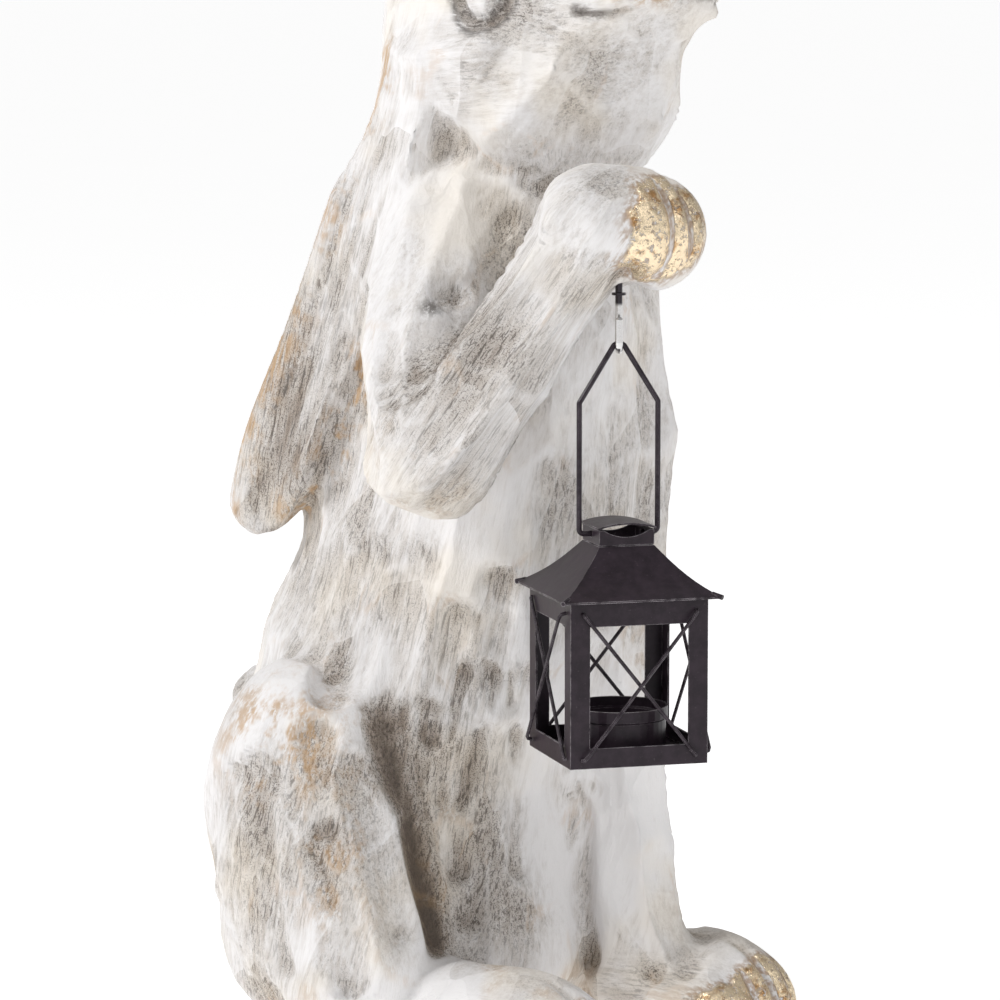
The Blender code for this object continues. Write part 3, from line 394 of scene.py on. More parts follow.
class Surface:
    """A closed mesh as arrays: its points, the edges between them and its faces' corners."""

    def __init__(self, mesh):
        self.mesh = mesh
        self.points = np.empty((len(mesh.vertices), 3))
        mesh.vertices.foreach_get("co", self.points.reshape(-1))
        ends = np.empty(len(mesh.edges) * 2, np.int32)
        mesh.edges.foreach_get("vertices", ends)
        self.ends = ends.reshape(-1, 2)
        self.count = np.bincount(self.ends.reshape(-1), minlength=len(self.points))
        mesh.calc_loop_triangles()
        corners = np.empty(len(mesh.loop_triangles) * 3, np.int32)
        mesh.loop_triangles.foreach_get("vertices", corners)
        self.corners = corners.reshape(-1, 3)

    def normals(self):
        """The outward normal at every point."""
        a, b, c = (self.points[self.corners[:, k]] for k in range(3))
        facing = np.cross(b - a, c - a)
        total = np.zeros_like(self.points)
        for k in range(3):
            for axis in range(3):
                total[:, axis] += np.bincount(
                    self.corners[:, k], weights=facing[:, axis], minlength=len(total)
                )
        return total / np.maximum(np.linalg.norm(total, axis=1, keepdims=True), 1e-12)

    def neighbour_mean(self, values):
        """The mean of each point's neighbours, for a column or for three."""
        values = values.reshape(len(self.points), -1)
        total = np.zeros_like(values)
        for axis in range(values.shape[1]):
            column = values[:, axis]
            total[:, axis] = np.bincount(
                self.ends[:, 0], weights=column[self.ends[:, 1]], minlength=len(total)
            ) + np.bincount(
                self.ends[:, 1], weights=column[self.ends[:, 0]], minlength=len(total)
            )
        return total / self.count[:, None]

    def soften(self, passes, convex_share):
        """Fills creases like a thumb. Convex places move only by their share."""
        for _ in range(passes):
            normals = self.normals()
            pull = self.neighbour_mean(self.points) - self.points
            outward = (pull * normals).sum(axis=1)
            share = np.where(outward > 0, 1.0, convex_share)
            self.points += 0.5 * pull * share[:, None]

    def push(self, normals, amount):
        """Moves each point along its normal."""
        self.points += normals * amount[:, None]

    def write(self):
        """Stores the points back in the mesh."""
        self.mesh.vertices.foreach_set("co", self.points.astype(np.float32).reshape(-1))
        self.mesh.update()


def smooth_path(places, steps=20):
    """Many places on the smooth curve through a few."""
    return np.array([curve_through(places, index / steps) for index in range(steps + 1)])


def distance_to_path(points, path):
    """Each point's distance to a line through places, and how far along the line it is."""
    nearest = np.full(len(points), np.inf)
    along = np.zeros(len(points))
    for step in range(len(path) - 1):
        start = path[step]
        run = path[step + 1] - start
        t = np.clip((points - start) @ run / (run @ run), 0, 1)
        away = np.linalg.norm(points - start - t[:, None] * run, axis=1)
        closer = away < nearest
        nearest[closer] = away[closer]
        along[closer] = (step + t[closer]) / (len(path) - 1)
    return nearest, along


def row_on_path(rows, along):
    """The path's row at each share of the way along it, between its listed rows."""
    place = along * (len(rows) - 1)
    low = np.minimum(place.astype(int), len(rows) - 2)
    share = (place - low)[:, None]
    return rows[low] * (1 - share) + rows[low + 1] * share


def cut_groove(surface, places, width, depth):
    """A groove of rounded V section along a curve. A negative depth raises a ridge."""
    path = smooth_path(places)
    above = surface.points > path.min(axis=0) - width
    below = surface.points < path.max(axis=0) + width
    near = np.flatnonzero((above & below).all(axis=1))
    away, along = distance_to_path(surface.points[near], path)
    ends = np.clip(np.minimum(along, 1 - along) / GROOVE_TAPER, 0, 1)
    share = np.clip(away / width, 0, 1)
    section = (1 - share) ** 2 * (1 + 2 * share)
    normals = surface.normals()[near]
    surface.points[near] -= normals * (depth * section * (0.25 + 0.75 * ends))[:, None]


def whittle(surface, rows, sides, turn):
    """Cuts a round limb to a long prism with flat sides, whose edges stay on the old skin or near it."""
    path = smooth_path(rows)
    axis = path[:, :3]
    runs = np.array([unit_vector(run) for run in np.gradient(axis, axis=0)])
    radii = path[:, 3:].mean(axis=1)
    reach = 1.5 * radii.max()
    above = surface.points > axis.min(axis=0) - reach
    below = surface.points < axis.max(axis=0) + reach
    near = np.flatnonzero((above & below).all(axis=1))
    points = surface.points[near]
    _, along = distance_to_path(points, axis)
    run = row_on_path(runs, along)
    offset = points - row_on_path(axis, along)
    radial = offset - (offset * run).sum(axis=1)[:, None] * run
    away = np.linalg.norm(radial, axis=1)
    outward = radial / np.maximum(away, 1e-9)[:, None]
    across = np.cross(run, (0.0, 0.0, 1.0))
    across /= np.linalg.norm(across, axis=1)[:, None]
    upward = np.cross(across, run)
    angle = np.arctan2((outward * upward).sum(axis=1), (outward * across).sum(axis=1))
    step = 2 * math.pi / sides
    from_middle = (angle - math.radians(turn) + step / 2) % step - step / 2
    profile = math.cos(step / 2) / np.cos(from_middle) / (0.4 + 0.6 * math.cos(step / 2))
    skin = np.clip((1.7 - away / row_on_path(radii[:, None], along)[:, 0]) / 0.5, 0, 1)
    skin *= np.clip((outward * surface.normals()[near]).sum(axis=1) / 0.6, 0, 1)
    skin *= np.clip(np.minimum(along, 1 - along) / 0.2, 0, 1)
    surface.points[near] += outward * (away * (profile - 1) * skin)[:, None]


def form_seeds(rows):
    """Places for chisel cuts all round a form, and the grain they follow there."""
    rows = np.array(rows, float)
    seeds = []
    row_number = 0
    for here, there in zip(rows[:-1], rows[1:]):
        run = there[:3] - here[:3]
        reach = np.linalg.norm(run)
        grain = run / reach
        side = unit_vector(np.cross(grain, (0.3, 1.0, 0.1)))
        front = np.cross(grain, side)
        lifts = max(round(reach / CUT_LENGTH), 1)
        for lift in range(lifts):
            share = (lift + 0.5) / lifts
            middle = here + (there - here) * share
            girth = 2 * math.pi * np.mean(middle[3:5])
            cuts = max(round(girth / CUT_SPACING), 5)
            for step in range(cuts):
                turn = 2 * math.pi * (step + 0.5 * (row_number % 2)) / cuts + 0.4 * row_number
                around = side * math.cos(turn) + front * math.sin(turn)
                scale = 1 / np.linalg.norm(around / middle[3:])
                seeds.append((middle[:3] + around * scale, grain))
            row_number += 1
    return seeds


def chisel(surface, seeds, depth, share):
    """Covers the surface in long shallow cuts, one round each seed that lies close to the skin.

    The share is how much of its depth a cut keeps at each point. Seeds that crowd one already taken
    are left out, and the cuts meet in ridges. It tells how far each point is from a ridge.
    """
    tree = kdtree.KDTree(len(surface.points))
    for index, point in enumerate(surface.points):
        tree.insert(point, index)
    tree.balance()
    places = np.empty((0, 3))
    shallow = np.full(len(surface.points), 1.0)
    second = np.full(len(surface.points), 1.0)
    for seed, grain in seeds:
        found, _, gap = tree.find(seed)
        if gap > SEED_REACH:
            continue
        offset = places - np.array(found)
        along = offset @ grain
        across = (offset**2).sum(axis=1) - along**2
        if (across / CUT_WIDTH**2 + (along / CUT_LENGTH) ** 2 < CUT_CROWDING).any():
            continue
        places = np.vstack((places, found))
        near = np.array([index for _, index, _ in tree.find_range(found, CUT_LENGTH)])
        offset = surface.points[near] - np.array(found)
        along = offset @ grain
        across = (offset**2).sum(axis=1) - along**2
        here = across / CUT_WIDTH**2 + (along / CUT_LENGTH) ** 2
        second[near] = np.minimum(second[near], np.maximum(here, shallow[near]))
        shallow[near] = np.minimum(shallow[near], here)
    surface.push(surface.normals(), depth * (shallow - CUT_LEVEL) * share)
    return np.sqrt(second) - np.sqrt(shallow)


def figure_seeds():
    """The chisel's cuts, along each form and up the body."""
    seeds = []
    for stations in (TORSO, SKULL, JAW, NAPE, TAIL):
        seeds += form_seeds(mirrored(stations, 1))
    for side in (-1, 1):
        for stations in (HAUNCH, CHEEK):
            seeds += form_seeds(mirrored(stations, side))
    for stations in (RAISED_FORELEG, PLANTED_FORELEG):
        seeds += form_seeds(mirrored(stations, 1))
    return seeds


def stroke_place(surface, places, width):
    """The points a gouge stroke meets: their numbers, how deep in the hollow they are, and how far along."""
    path = smooth_path(places, 10)
    reach = 1.2 * width
    above = surface.points > path.min(axis=0) - reach
    below = surface.points < path.max(axis=0) + reach
    near = np.flatnonzero((above & below).all(axis=1))
    points = surface.points[near]
    normals = surface.normals()[near]
    offsets = np.linalg.norm(points[:, None] - path[None], axis=2)
    faced = neighbour_blend(normals[offsets.argmin(axis=0)])
    away, way = distance_to_path(points, path)
    out = row_on_path(neighbour_blend(faced), way)
    out /= np.linalg.norm(out, axis=1)[:, None]
    height = ((points - row_on_path(path, way)) * out).sum(axis=1)
    across = np.sqrt(np.maximum(away**2 - height**2, 0))
    share = across / (width * (1 - 0.25 * way))
    facing = np.clip(((normals * out).sum(axis=1) - 0.25) / 0.35, 0, 1)
    close = np.clip(2.2 - np.abs(height) / (0.5 * width), 0, 1)
    return near, out, np.clip(1 - share**2, 0, 1) * facing * close, way


def neighbour_blend(rows):
    """Rows averaged with the ones beside them."""
    wide = np.vstack((rows[:1], rows, rows[-1:]))
    return (wide[:-2] + wide[1:-1] + wide[2:]) / 3


def all_strokes():
    """The strokes of the right side and the shared ones on both sides."""
    strokes = list(RIGHT_STROKES)
    for places, width, depth in PAIRED_STROKES:
        for side in (-1, 1):
            strokes.append((on_side(places, side), width, depth))
    return strokes


def stroke_cover(surface):
    """How much of the surface belongs to the broad strokes, 1 well inside one."""
    cover = np.zeros(len(surface.points))
    for places, width, _ in all_strokes():
        near, _, share, _ = stroke_place(surface, places, width)
        cover[near] = np.maximum(cover[near], np.clip(share * 4, 0, 1))
    return cover


def carve_strokes(surface):
    """Cuts the broad strokes. It gives the stain that gathers where each begins."""
    stain = np.zeros(len(surface.points))
    for places, width, depth in all_strokes():
        near, out, share, way = stroke_place(surface, places, width)
        surface.points[near] -= out * (STROKE_DEPTH * depth * share)[:, None]
        begun = np.clip(share * 3, 0, 1) * np.clip(1 - way * 1.6, 0, 1) * np.clip(depth - 2.4, 0, 1)
        stain[near] = np.maximum(stain[near], begun)
    return stain


def carve_paws(surface):
    """The toes: grooves over the front of each paw and foot."""
    for turn in (0, 1, 2):
        x = -55 + 11.5 * turn
        front = RAISED_TOES_Y - math.sqrt(RAISED_TOES_RADIUS**2 - (x + 36) ** 2)
        cut_groove(
            surface,
            ((x, front + 20, 386), (x, front + 3, 376), (x, front, 358), (x, front + 9, 340)),
            5.5,
            4.4,
        )
    for side in (-1, 1):
        for turn in (-1, 0, 1):
            x = side * 58 + 12.5 * turn
            cut_groove(surface, ((x, -72, 50), (x, -98, 40), (x, -114, 22), (x, -114, 4)), 6, 4.5)
    for turn in (-1, 0, 1):
        x = 41 + 10 * turn
        cut_groove(surface, ((x, -84, 28), (x, -102, 22), (x, -108, 8)), 5, 3.5)


def mouth_line(side, drop):
    """One half of the mouth, from the philtrum to its corner, or a line so far below it."""
    return tuple((x, y, z - drop) for x, y, z in on_side(MOUTH, side))


def eye_distance(points, side):
    """How far each point is from the middle of an eye."""
    return np.linalg.norm(points - np.array((side * EYE[0], EYE[1], EYE[2])), axis=1)


def carve_face(surface):
    """The mouth over its raised lip, the nose, the philtrum, the chin's dimple and the eyes."""
    for side in (-1, 1):
        cut_groove(surface, mouth_line(side, 0), 4.5, 3.8)
        cut_groove(surface, mouth_line(side, LIP_DROP), 5, -1.8)
        cut_groove(surface, on_side(NOSTRIL, side), 4, 2.6)
        away = eye_distance(surface.points, side)
        socket = np.exp(-(((away - SOCKET_RADIUS) / SOCKET_WIDTH) ** 2))
        ball = np.clip(1 - (away / EYEBALL_RADIUS) ** 2, 0, 1)
        surface.push(surface.normals(), EYEBALL_RISE * ball - SOCKET_DEPTH * socket)
    cut_groove(surface, PHILTRUM, 4.5, 3.0)
    cut_groove(surface, ((-13, -99, 441), (-9, -101, 438)), 4, 2.2)


def carve_creases(surface):
    """The deep lines between haunch and belly, foreleg and chest, cheek and neck, ear and neck."""
    for side in (-1, 1):
        for places, width, depth in PAIRED_CREASES:
            cut_groove(surface, on_side(places, side), width, depth)
    for places, width, depth in SINGLE_CREASES:
        cut_groove(surface, places, width, depth)


def carve_ears(surface):
    """Long gouge marks down the broad face of each ear."""
    for side in (-1, 1):
        for shift in (-0.45, 0.05, 0.5):
            places = []
            for centre, half_width, thickness, _ in EAR[2:]:
                y = centre[1] + shift * half_width
                places.append((side * (centre[0] + thickness), y, centre[2]))
            cut_groove(surface, places, 7, 2.0)


def blob(points, centre, radii):
    """1 at the centre, falling smoothly to 0 at the radii."""
    away = np.sqrt((((points - np.array(centre)) / np.array(radii)) ** 2).sum(axis=1))
    return np.clip(1 - away, 0, 1) ** 2 * (1 + 2 * np.clip(away, 0, 1))


def smoothed(surface, values, passes):
    """A column or three, spread over the surface."""
    values = values.copy()
    for _ in range(passes):
        values = values * 0.5 + surface.neighbour_mean(values).reshape(values.shape) * 0.5
    return values


def hollow(surface, passes):
    """How far each point lies below the surface as it is once smoothed: hollows are positive."""
    spread = smoothed(surface, surface.points, passes)
    return ((spread - surface.points) * surface.normals()).sum(axis=1)


def set_attribute(mesh, name, values):
    """A number at every point, for a material."""
    layer = mesh.attributes.new(name, "FLOAT", "POINT")
    layer.data.foreach_set("value", values.astype(np.float32))


class Shader:
    """A small helper that adds nodes to one material and joins them."""

    def __init__(self, name):
        self.material = bpy.data.materials.new(name)
        self.material.use_nodes = True
        self.tree = self.material.node_tree
        self.main = self.tree.nodes["Principled BSDF"]

    def node(self, kind, **settings):
        made = self.tree.nodes.new(kind)
        for key, value in settings.items():
            setattr(made, key, value)
        return made

    def join(self, value, socket):
        if isinstance(value, bpy.types.NodeSocket):
            self.tree.links.new(value, socket)
        else:
            socket.default_value = value

    def attribute(self, name):
        return self.node("ShaderNodeAttribute", attribute_name=name).outputs["Fac"]

    def position(self):
        return self.node("ShaderNodeTexCoord").outputs["Object"]

    def math(self, operation, a, b=0.0, clamp=False):
        made = self.node("ShaderNodeMath", operation=operation, use_clamp=clamp)
        self.join(a, made.inputs[0])
        self.join(b, made.inputs[1])
        return made.outputs[0]

    def ramp(self, value, low, high):
        """0 at low, 1 at high, and smooth between them."""
        made = self.node("ShaderNodeMapRange", interpolation_type="SMOOTHSTEP")
        self.join(value, made.inputs["Value"])
        made.inputs["From Min"].default_value = low
        made.inputs["From Max"].default_value = high
        return made.outputs["Result"]

    def noise(self, vector, scale, detail=4.0, roughness=0.6):
        made = self.node("ShaderNodeTexNoise")
        self.join(vector, made.inputs["Vector"])
        made.inputs["Scale"].default_value = scale
        made.inputs["Detail"].default_value = detail
        made.inputs["Roughness"].default_value = roughness
        return made.outputs["Fac"]

    def mix(self, share, a, b, blend="MIX"):
        made = self.node("ShaderNodeMix", data_type="RGBA", blend_type=blend)
        self.join(share, made.inputs["Factor"])
        for value, socket in ((a, made.inputs[6]), (b, made.inputs[7])):
            self.join((*value, 1.0) if isinstance(value, tuple) else value, socket)
        return made.outputs[2]

    def centred(self, value, gain):
        """A number between 0 and 1 as one about 0, times the gain."""
        return self.math("MULTIPLY", self.math("SUBTRACT", value, 0.5), gain)

    def stretched(self, vector, grain, squash):
        """The vector with its part along the grain squashed, so that noise on it runs along the grain."""
        along = self.node("ShaderNodeVectorMath", operation="SCALE")
        along.inputs[0].default_value = grain
        self.join(self.math("MULTIPLY", self.along(vector, grain), 1.0 - squash), along.inputs["Scale"])
        rest = self.node("ShaderNodeVectorMath", operation="SUBTRACT")
        self.join(vector, rest.inputs[0])
        self.join(along.outputs[0], rest.inputs[1])
        return rest.outputs[0]

    def cells(self, vector, scale, feature="F1"):
        """Facets: the outputs of a Voronoi texture."""
        made = self.node("ShaderNodeTexVoronoi", feature=feature)
        self.join(vector, made.inputs["Vector"])
        made.inputs["Scale"].default_value = scale
        return made.outputs

    def along(self, vector, grain):
        """How far the vector reaches along the grain."""
        made = self.node("ShaderNodeVectorMath", operation="DOT_PRODUCT")
        self.join(vector, made.inputs[0])
        made.inputs[1].default_value = grain
        return made.outputs["Value"]

    def warped(self, vector, scale, amount):
        """The vector pushed about by soft noise."""
        made = self.node("ShaderNodeTexNoise")
        self.join(vector, made.inputs["Vector"])
        made.inputs["Scale"].default_value = scale
        made.inputs["Detail"].default_value = 1.0
        push = self.node("ShaderNodeVectorMath", operation="MULTIPLY_ADD")
        self.join(made.outputs["Color"], push.inputs[0])
        push.inputs[1].default_value = (amount, amount, amount)
        self.join(vector, push.inputs[2])
        return push.outputs[0]

    def blend(self, share, a, b):
        """Between two numbers."""
        made = self.node("ShaderNodeMix", data_type="FLOAT")
        self.join(share, made.inputs["Factor"])
        self.join(a, made.inputs[2])
        self.join(b, made.inputs[3])
        return made.outputs[0]

    def bump(self, height, distance, strength=1.0, normal=None):
        made = self.node("ShaderNodeBump")
        made.inputs["Strength"].default_value = strength
        made.inputs["Distance"].default_value = distance
        self.join(height, made.inputs["Height"])
        if normal is not None:
            self.join(normal, made.inputs["Normal"])
        return made.outputs["Normal"]

    def finish(self, colour, roughness, normal=None, metallic=0.0):
        self.join((*colour, 1.0) if isinstance(colour, tuple) else colour, self.main.inputs["Base Color"])
        self.join(roughness, self.main.inputs["Roughness"])
        self.join(metallic, self.main.inputs["Metallic"])
        if normal is not None:
            self.join(normal, self.main.inputs["Normal"])
        return self.material


def grain_weights(points):
    """How much of the grain runs along the raised foreleg, and how much runs level, at each point."""
    foreleg, _ = distance_to_path(points, smooth_path([at for at, _ in RAISED_FORELEG[2:]]))
    along_foreleg = np.clip((42 - foreleg) / 14, 0, 1)
    x, y, z = points.T
    feet = np.clip((44 - z) / 12, 0, 1) * np.clip((-34 - y) / 16, 0, 1)
    muzzle = np.clip((z - 388) / 26, 0, 1) * np.clip((8 - y) / 30, 0, 1)
    return along_foreleg, np.maximum(feet, muzzle) * (1 - along_foreleg)


def line_darkening(points, places, strength, half_width):
    """Darkening along a line: the strength on it, less by 1 at each half width away."""
    away, _ = distance_to_path(points, smooth_path(places))
    return np.clip(strength - away / half_width, 0, 1)


def dark_lines(surface):
    """Dark fine lines: stain round the eyes and along mouth and nose, and stain with painted shade in the
    crease behind the raised foreleg.
    """
    points = surface.points
    line = np.zeros(len(points))
    for side in (-1, 1):
        away = eye_distance(points, side)
        for ring, strength in EYE_RINGS:
            line = np.maximum(line, strength * np.clip(1.3 - np.abs(away - ring) / 1.3, 0, 1))
        for places in (mouth_line(side, 0), on_side(NOSTRIL, side), PHILTRUM):
            line = np.maximum(line, line_darkening(points, places, 1.5, 2.0))
    # Painted shade with stain along the crease behind the raised foreleg
    return np.maximum(line, 0.9 * line_darkening(points, FORELEG_CREASE, 1.6, 3.4))


def toe_gold(surface):
    """Where the gold lies: on the tips of the paws and feet, worn thin at its borders."""
    points = surface.points
    gold = blob(points, *RAISED_GOLD)
    for side in (-1, 1):
        (x, y, z), radii = HIND_GOLD
        gold = np.maximum(gold, blob(points, (side * x, y, z), radii))
    return np.maximum(gold, blob(points, *PLANTED_GOLD))


def spots(points, paired, single):
    """The strongest of the listed places at each point."""
    place = np.zeros(len(points))
    for strength, (x, y, z), radii in paired:
        for side in (-1, 1):
            place = np.maximum(place, strength * blob(points, (side * x, y, z), radii))
    for strength, centre, radii in single:
        place = np.maximum(place, strength * blob(points, centre, radii))
    return place


def ochre_places(surface):
    """Where rust-coloured stain gathers: the ears' rims, haunches, muzzle, elbow and chest."""
    points = surface.points
    place = spots(points, PAIRED_OCHRE, SINGLE_OCHRE)
    for side in (-1, 1):
        for shift, rows, reach in OCHRE_RIMS:
            edge = [(side * at[0], at[1] + shift * wide, at[2]) for at, wide, _, _ in rows]
            away, _ = distance_to_path(points, smooth_path(edge))
            place = np.maximum(place, 2.0 * np.clip(1 - away / reach, 0, 1))
    return place


def dim_places(surface):
    """Where the figure is darker: in listed places, and as painted shade with stain on the ears'
    front-facing sides and along the haunches' creases. Below 0 where painted light brightens places in
    shade.
    """
    points = surface.points
    facing_front = np.clip(-surface.normals()[:, 1] * 2 - 0.9, 0, 1)
    place = spots(points, PAIRED_DIM, SINGLE_DIM)
    for side in (-1, 1):
        middle = [(side * at[0], at[1], at[2]) for at, _, _, _ in EAR[3:]]
        away, _ = distance_to_path(points, smooth_path(middle))
        # Painted shade with stain on the side of each ear that faces front
        place = np.maximum(place, 1.2 * np.clip((34 - away) / 8, 0, 1) * facing_front)
        # Painted shade with stain along the haunch's crease
        place = np.maximum(place, 3.2 * line_darkening(points, on_side(HAUNCH_CREASE, side), 1, 15))
    # Painted light: the listed places lightened where shade falls
    for strength, centre, radii in PAINTED_LIGHT_PLACES:
        place -= strength * blob(points, centre, radii)
    return place


def figure_mesh():
    """The carved figure at full detail, in metres, with what its material reads at every point."""
    surface = Surface(melted(build_clay(), CLAY_VOXEL))
    surface.soften(int(SOFTENING_PASSES * (SOFTENING_VOXEL / CLAY_VOXEL) ** 2), CONVEX_SHARE)
    carve_creases(surface)
    for stations, sides, turn in WHITTLED_LIMBS:
        whittle(surface, mirrored(stations, 1), sides, turn)
    cover = stroke_cover(surface)
    ridge = chisel(surface, figure_seeds(), CUT_DEPTH, 1 - 0.8 * cover)
    begun = carve_strokes(surface)
    carve_ears(surface)
    carve_paws(surface)
    carve_face(surface)
    foreleg, level = grain_weights(surface.points)
    for name, values in (
        ("begun", smoothed(surface, begun, 2)),
        ("narrow", hollow(surface, 10)),
        ("broad", hollow(surface, 120)),
        ("ridge", ridge),
        ("foreleg_grain", foreleg),
        ("level_grain", level),
        ("gold", toe_gold(surface)),
        ("ochre", ochre_places(surface)),
        ("dim", dim_places(surface)),
        ("line", dark_lines(surface)),
        ("calm", blob(surface.points, *CALM_HEAD)),
    ):
        set_attribute(surface.mesh, name, values)
    surface.points *= UNIT
    low, high = (np.array(corner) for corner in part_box("rabbit"))
    surface.points = np.clip(surface.points, low, high)
    surface.write()
    return surface.mesh


# The grain of the wood on the body, the raised foreleg, and the feet and muzzle
UPRIGHT_GRAIN = tuple(unit_vector((0.0, 0.26, -1.0)))
FORELEG_GRAIN = tuple(unit_vector((0.28, -0.62, 0.96)))
LEVEL_GRAIN = tuple(unit_vector((0.0, -1.0, 0.08)))
FIBRE_SQUASH = 0.11
FACET_SQUASH = 0.27
FACET_SCALE = 46.0

# The coats of the casting
WHITEWASH = (0.80, 0.785, 0.785)
# Stain tones, which also carry the painted shade in hollows and creases
GREY_STAIN_AND_SHADE = (0.53, 0.49, 0.455)
BROWN_STAIN_AND_SHADE = (0.27, 0.22, 0.18)
DEEP_STAIN_AND_SHADE = (0.11, 0.085, 0.065)
FLECKS = (0.07, 0.055, 0.045)
LINE_STAIN_AND_SHADE = (0.06, 0.05, 0.045)
CREAM = (1.0, 0.93, 0.80)
RUST = (0.50, 0.31, 0.15)
GOLD_BORDER = (0.33, 0.19, 0.09)
GOLD = (0.90, 0.74, 0.52)
TARNISH = (0.46, 0.26, 0.11)
# The lantern's lacquer, where it is rubbed, the painted highlight along its edges, and the hook's plating
# and dark stem
LACQUER = ((0.017, 0.011, 0.016), (0.030, 0.020, 0.028))
RUBBED_LACQUER = (0.11, 0.09, 0.10)
PAINTED_EDGE_HIGHLIGHT = (0.42, 0.39, 0.41)
PLATING = ((0.58, 0.57, 0.57), (0.72, 0.71, 0.70))
HOOK_STEM = (0.045, 0.04, 0.045)
HOOK_STEM_HEIGHTS = (0.3335, 0.3355)


def washed_casting():
    """Whitewash brushed over grey and brown stain, with painted shade in hollows and creases and painted
    highlights on crests, rust on the ridges and gold on the toes.
    """
    s = Shader("washed_casting")
    at = s.position()
    grains = (UPRIGHT_GRAIN, FORELEG_GRAIN, LEVEL_GRAIN)
    fibres = [s.stretched(at, grain, FIBRE_SQUASH) for grain in grains]
    foreleg = s.attribute("foreleg_grain")
    level = s.attribute("level_grain")

    def grained(scale, detail, roughness):
        upright, along, flat = (s.noise(fibre, scale, detail, roughness) for fibre in fibres)
        return s.blend(level, s.blend(foreleg, upright, along), flat)

    fine = grained(900.0, 3.0, 0.7)
    streak = grained(420.0, 5.0, 0.72)
    patch = s.noise(at, 30.0, 4.0, 0.6)
    cloud = s.noise(at, 9.0, 2.0, 0.5)
    speckle = s.noise(at, 1500.0, 2.0, 0.7)

    # Facets of the knife: a random tone in each, darker where the cut began, and a crisp edge
    wobble = s.warped(at, 38.0, 0.012)
    tones = []
    starts = []
    hollows = []
    edges = []
    for grain in (UPRIGHT_GRAIN, FORELEG_GRAIN):
        place = s.stretched(wobble, grain, FACET_SQUASH)
        cell = s.cells(place, FACET_SCALE)
        tones.append(s.along(cell["Color"], (0.6, 0.3, 0.1)))
        behind = s.math("SUBTRACT", s.along(cell["Position"], grain), s.along(place, grain))
        starts.append(s.ramp(behind, -0.002, 0.009))
        hollows.append(s.math("MULTIPLY", cell["Distance"], cell["Distance"]))
        edges.append(s.cells(place, FACET_SCALE, "DISTANCE_TO_EDGE")["Distance"])
    tone, start, facet, edge = (s.blend(foreleg, *pair) for pair in (tones, starts, hollows, edges))

    # How dark the figure is: stain, with painted shade in the broad hollows, more stain in cuts and where
    # cuts begin, and lighter on their crests as a painted highlight
    # Painted shade: broad hollows darker, standing in for occlusion, over the stain there
    hollow_shade_and_stain = s.ramp(s.attribute("broad"), -1.0, 7.0)
    cut = s.ramp(s.attribute("narrow"), -0.1, 0.9)
    stain_and_shade = s.math("MULTIPLY", hollow_shade_and_stain, 0.35)
    for more in (
        s.math("MULTIPLY", s.attribute("begun"), 0.35),
        s.math("MULTIPLY", cut, 0.35),
        s.math("MULTIPLY", s.attribute("dim"), 0.5),
        s.centred(tone, s.blend(s.attribute("calm"), 0.27, 0.10)),
        s.math("MULTIPLY", s.math("SUBTRACT", start, 0.4), 0.2),
        s.centred(patch, 0.9),
        s.centred(cloud, 1.2),
    ):
        stain_and_shade = s.math("ADD", stain_and_shade, more)
    # Painted highlight: lighter along the crests of cuts and along facet edges
    painted_crest_highlight = s.math("MAXIMUM", s.ramp(edge, 0.08, -0.06), s.ramp(s.attribute("ridge"), 0.16, 0.0))
    stain_and_shade = s.math("SUBTRACT", stain_and_shade, s.math("MULTIPLY", painted_crest_highlight, 0.2))
    stain_and_shade = s.math("SUBTRACT", stain_and_shade, 0.04)

    streaked = s.math("ADD", stain_and_shade, s.centred(streak, 1.5))
    colour = s.mix(s.ramp(streaked, -0.45, 0.60), WHITEWASH, GREY_STAIN_AND_SHADE)
    colour = s.mix(s.ramp(streaked, 0.30, 1.20), colour, BROWN_STAIN_AND_SHADE)
    colour = s.mix(s.ramp(streaked, 0.95, 1.75), colour, DEEP_STAIN_AND_SHADE)
    fleck = s.math("MULTIPLY", s.ramp(fine, 0.53, 0.60), s.ramp(stain_and_shade, -0.30, 0.60))
    grit = s.math("MULTIPLY", s.ramp(speckle, 0.54, 0.61), s.ramp(stain_and_shade, -0.15, 0.65))
    dark = s.math("MAXIMUM", s.math("MULTIPLY", fleck, 0.8), s.math("MULTIPLY", grit, 0.8))
    colour = s.mix(dark, colour, FLECKS)

    line = s.math("MULTIPLY", s.attribute("line"), s.ramp(streak, 0.34, 0.52))
    colour = s.mix(s.math("MULTIPLY", line, 0.85, clamp=True), colour, LINE_STAIN_AND_SHADE)
    cream = s.math("MULTIPLY", s.ramp(s.noise(at, 16.0, 3.0, 0.55), 0.46, 0.66), 0.55)
    colour = s.mix(cream, colour, CREAM, "MULTIPLY")

    # Rust in its places, and in fine lines on the ridges
    ridge = s.math("MAXIMUM", s.ramp(s.attribute("ridge"), 0.16, 0.02), s.ramp(edge, 0.05, 0.01))
    rust = s.math("MULTIPLY", s.attribute("ochre"), s.ramp(s.noise(at, 60.0, 3.0, 0.65), 0.44, 0.62))
    rust_lines = s.math("MULTIPLY", ridge, s.ramp(s.noise(at, 34.0, 2.0, 0.5), 0.55, 0.68))
    rust = s.math("MAXIMUM", rust, s.math("MULTIPLY", rust_lines, 0.35), clamp=True)
    rust = s.math("MULTIPLY", rust, s.ramp(streak, 0.36, 0.56))
    colour = s.mix(s.math("MULTIPLY", rust, 0.75), colour, RUST)

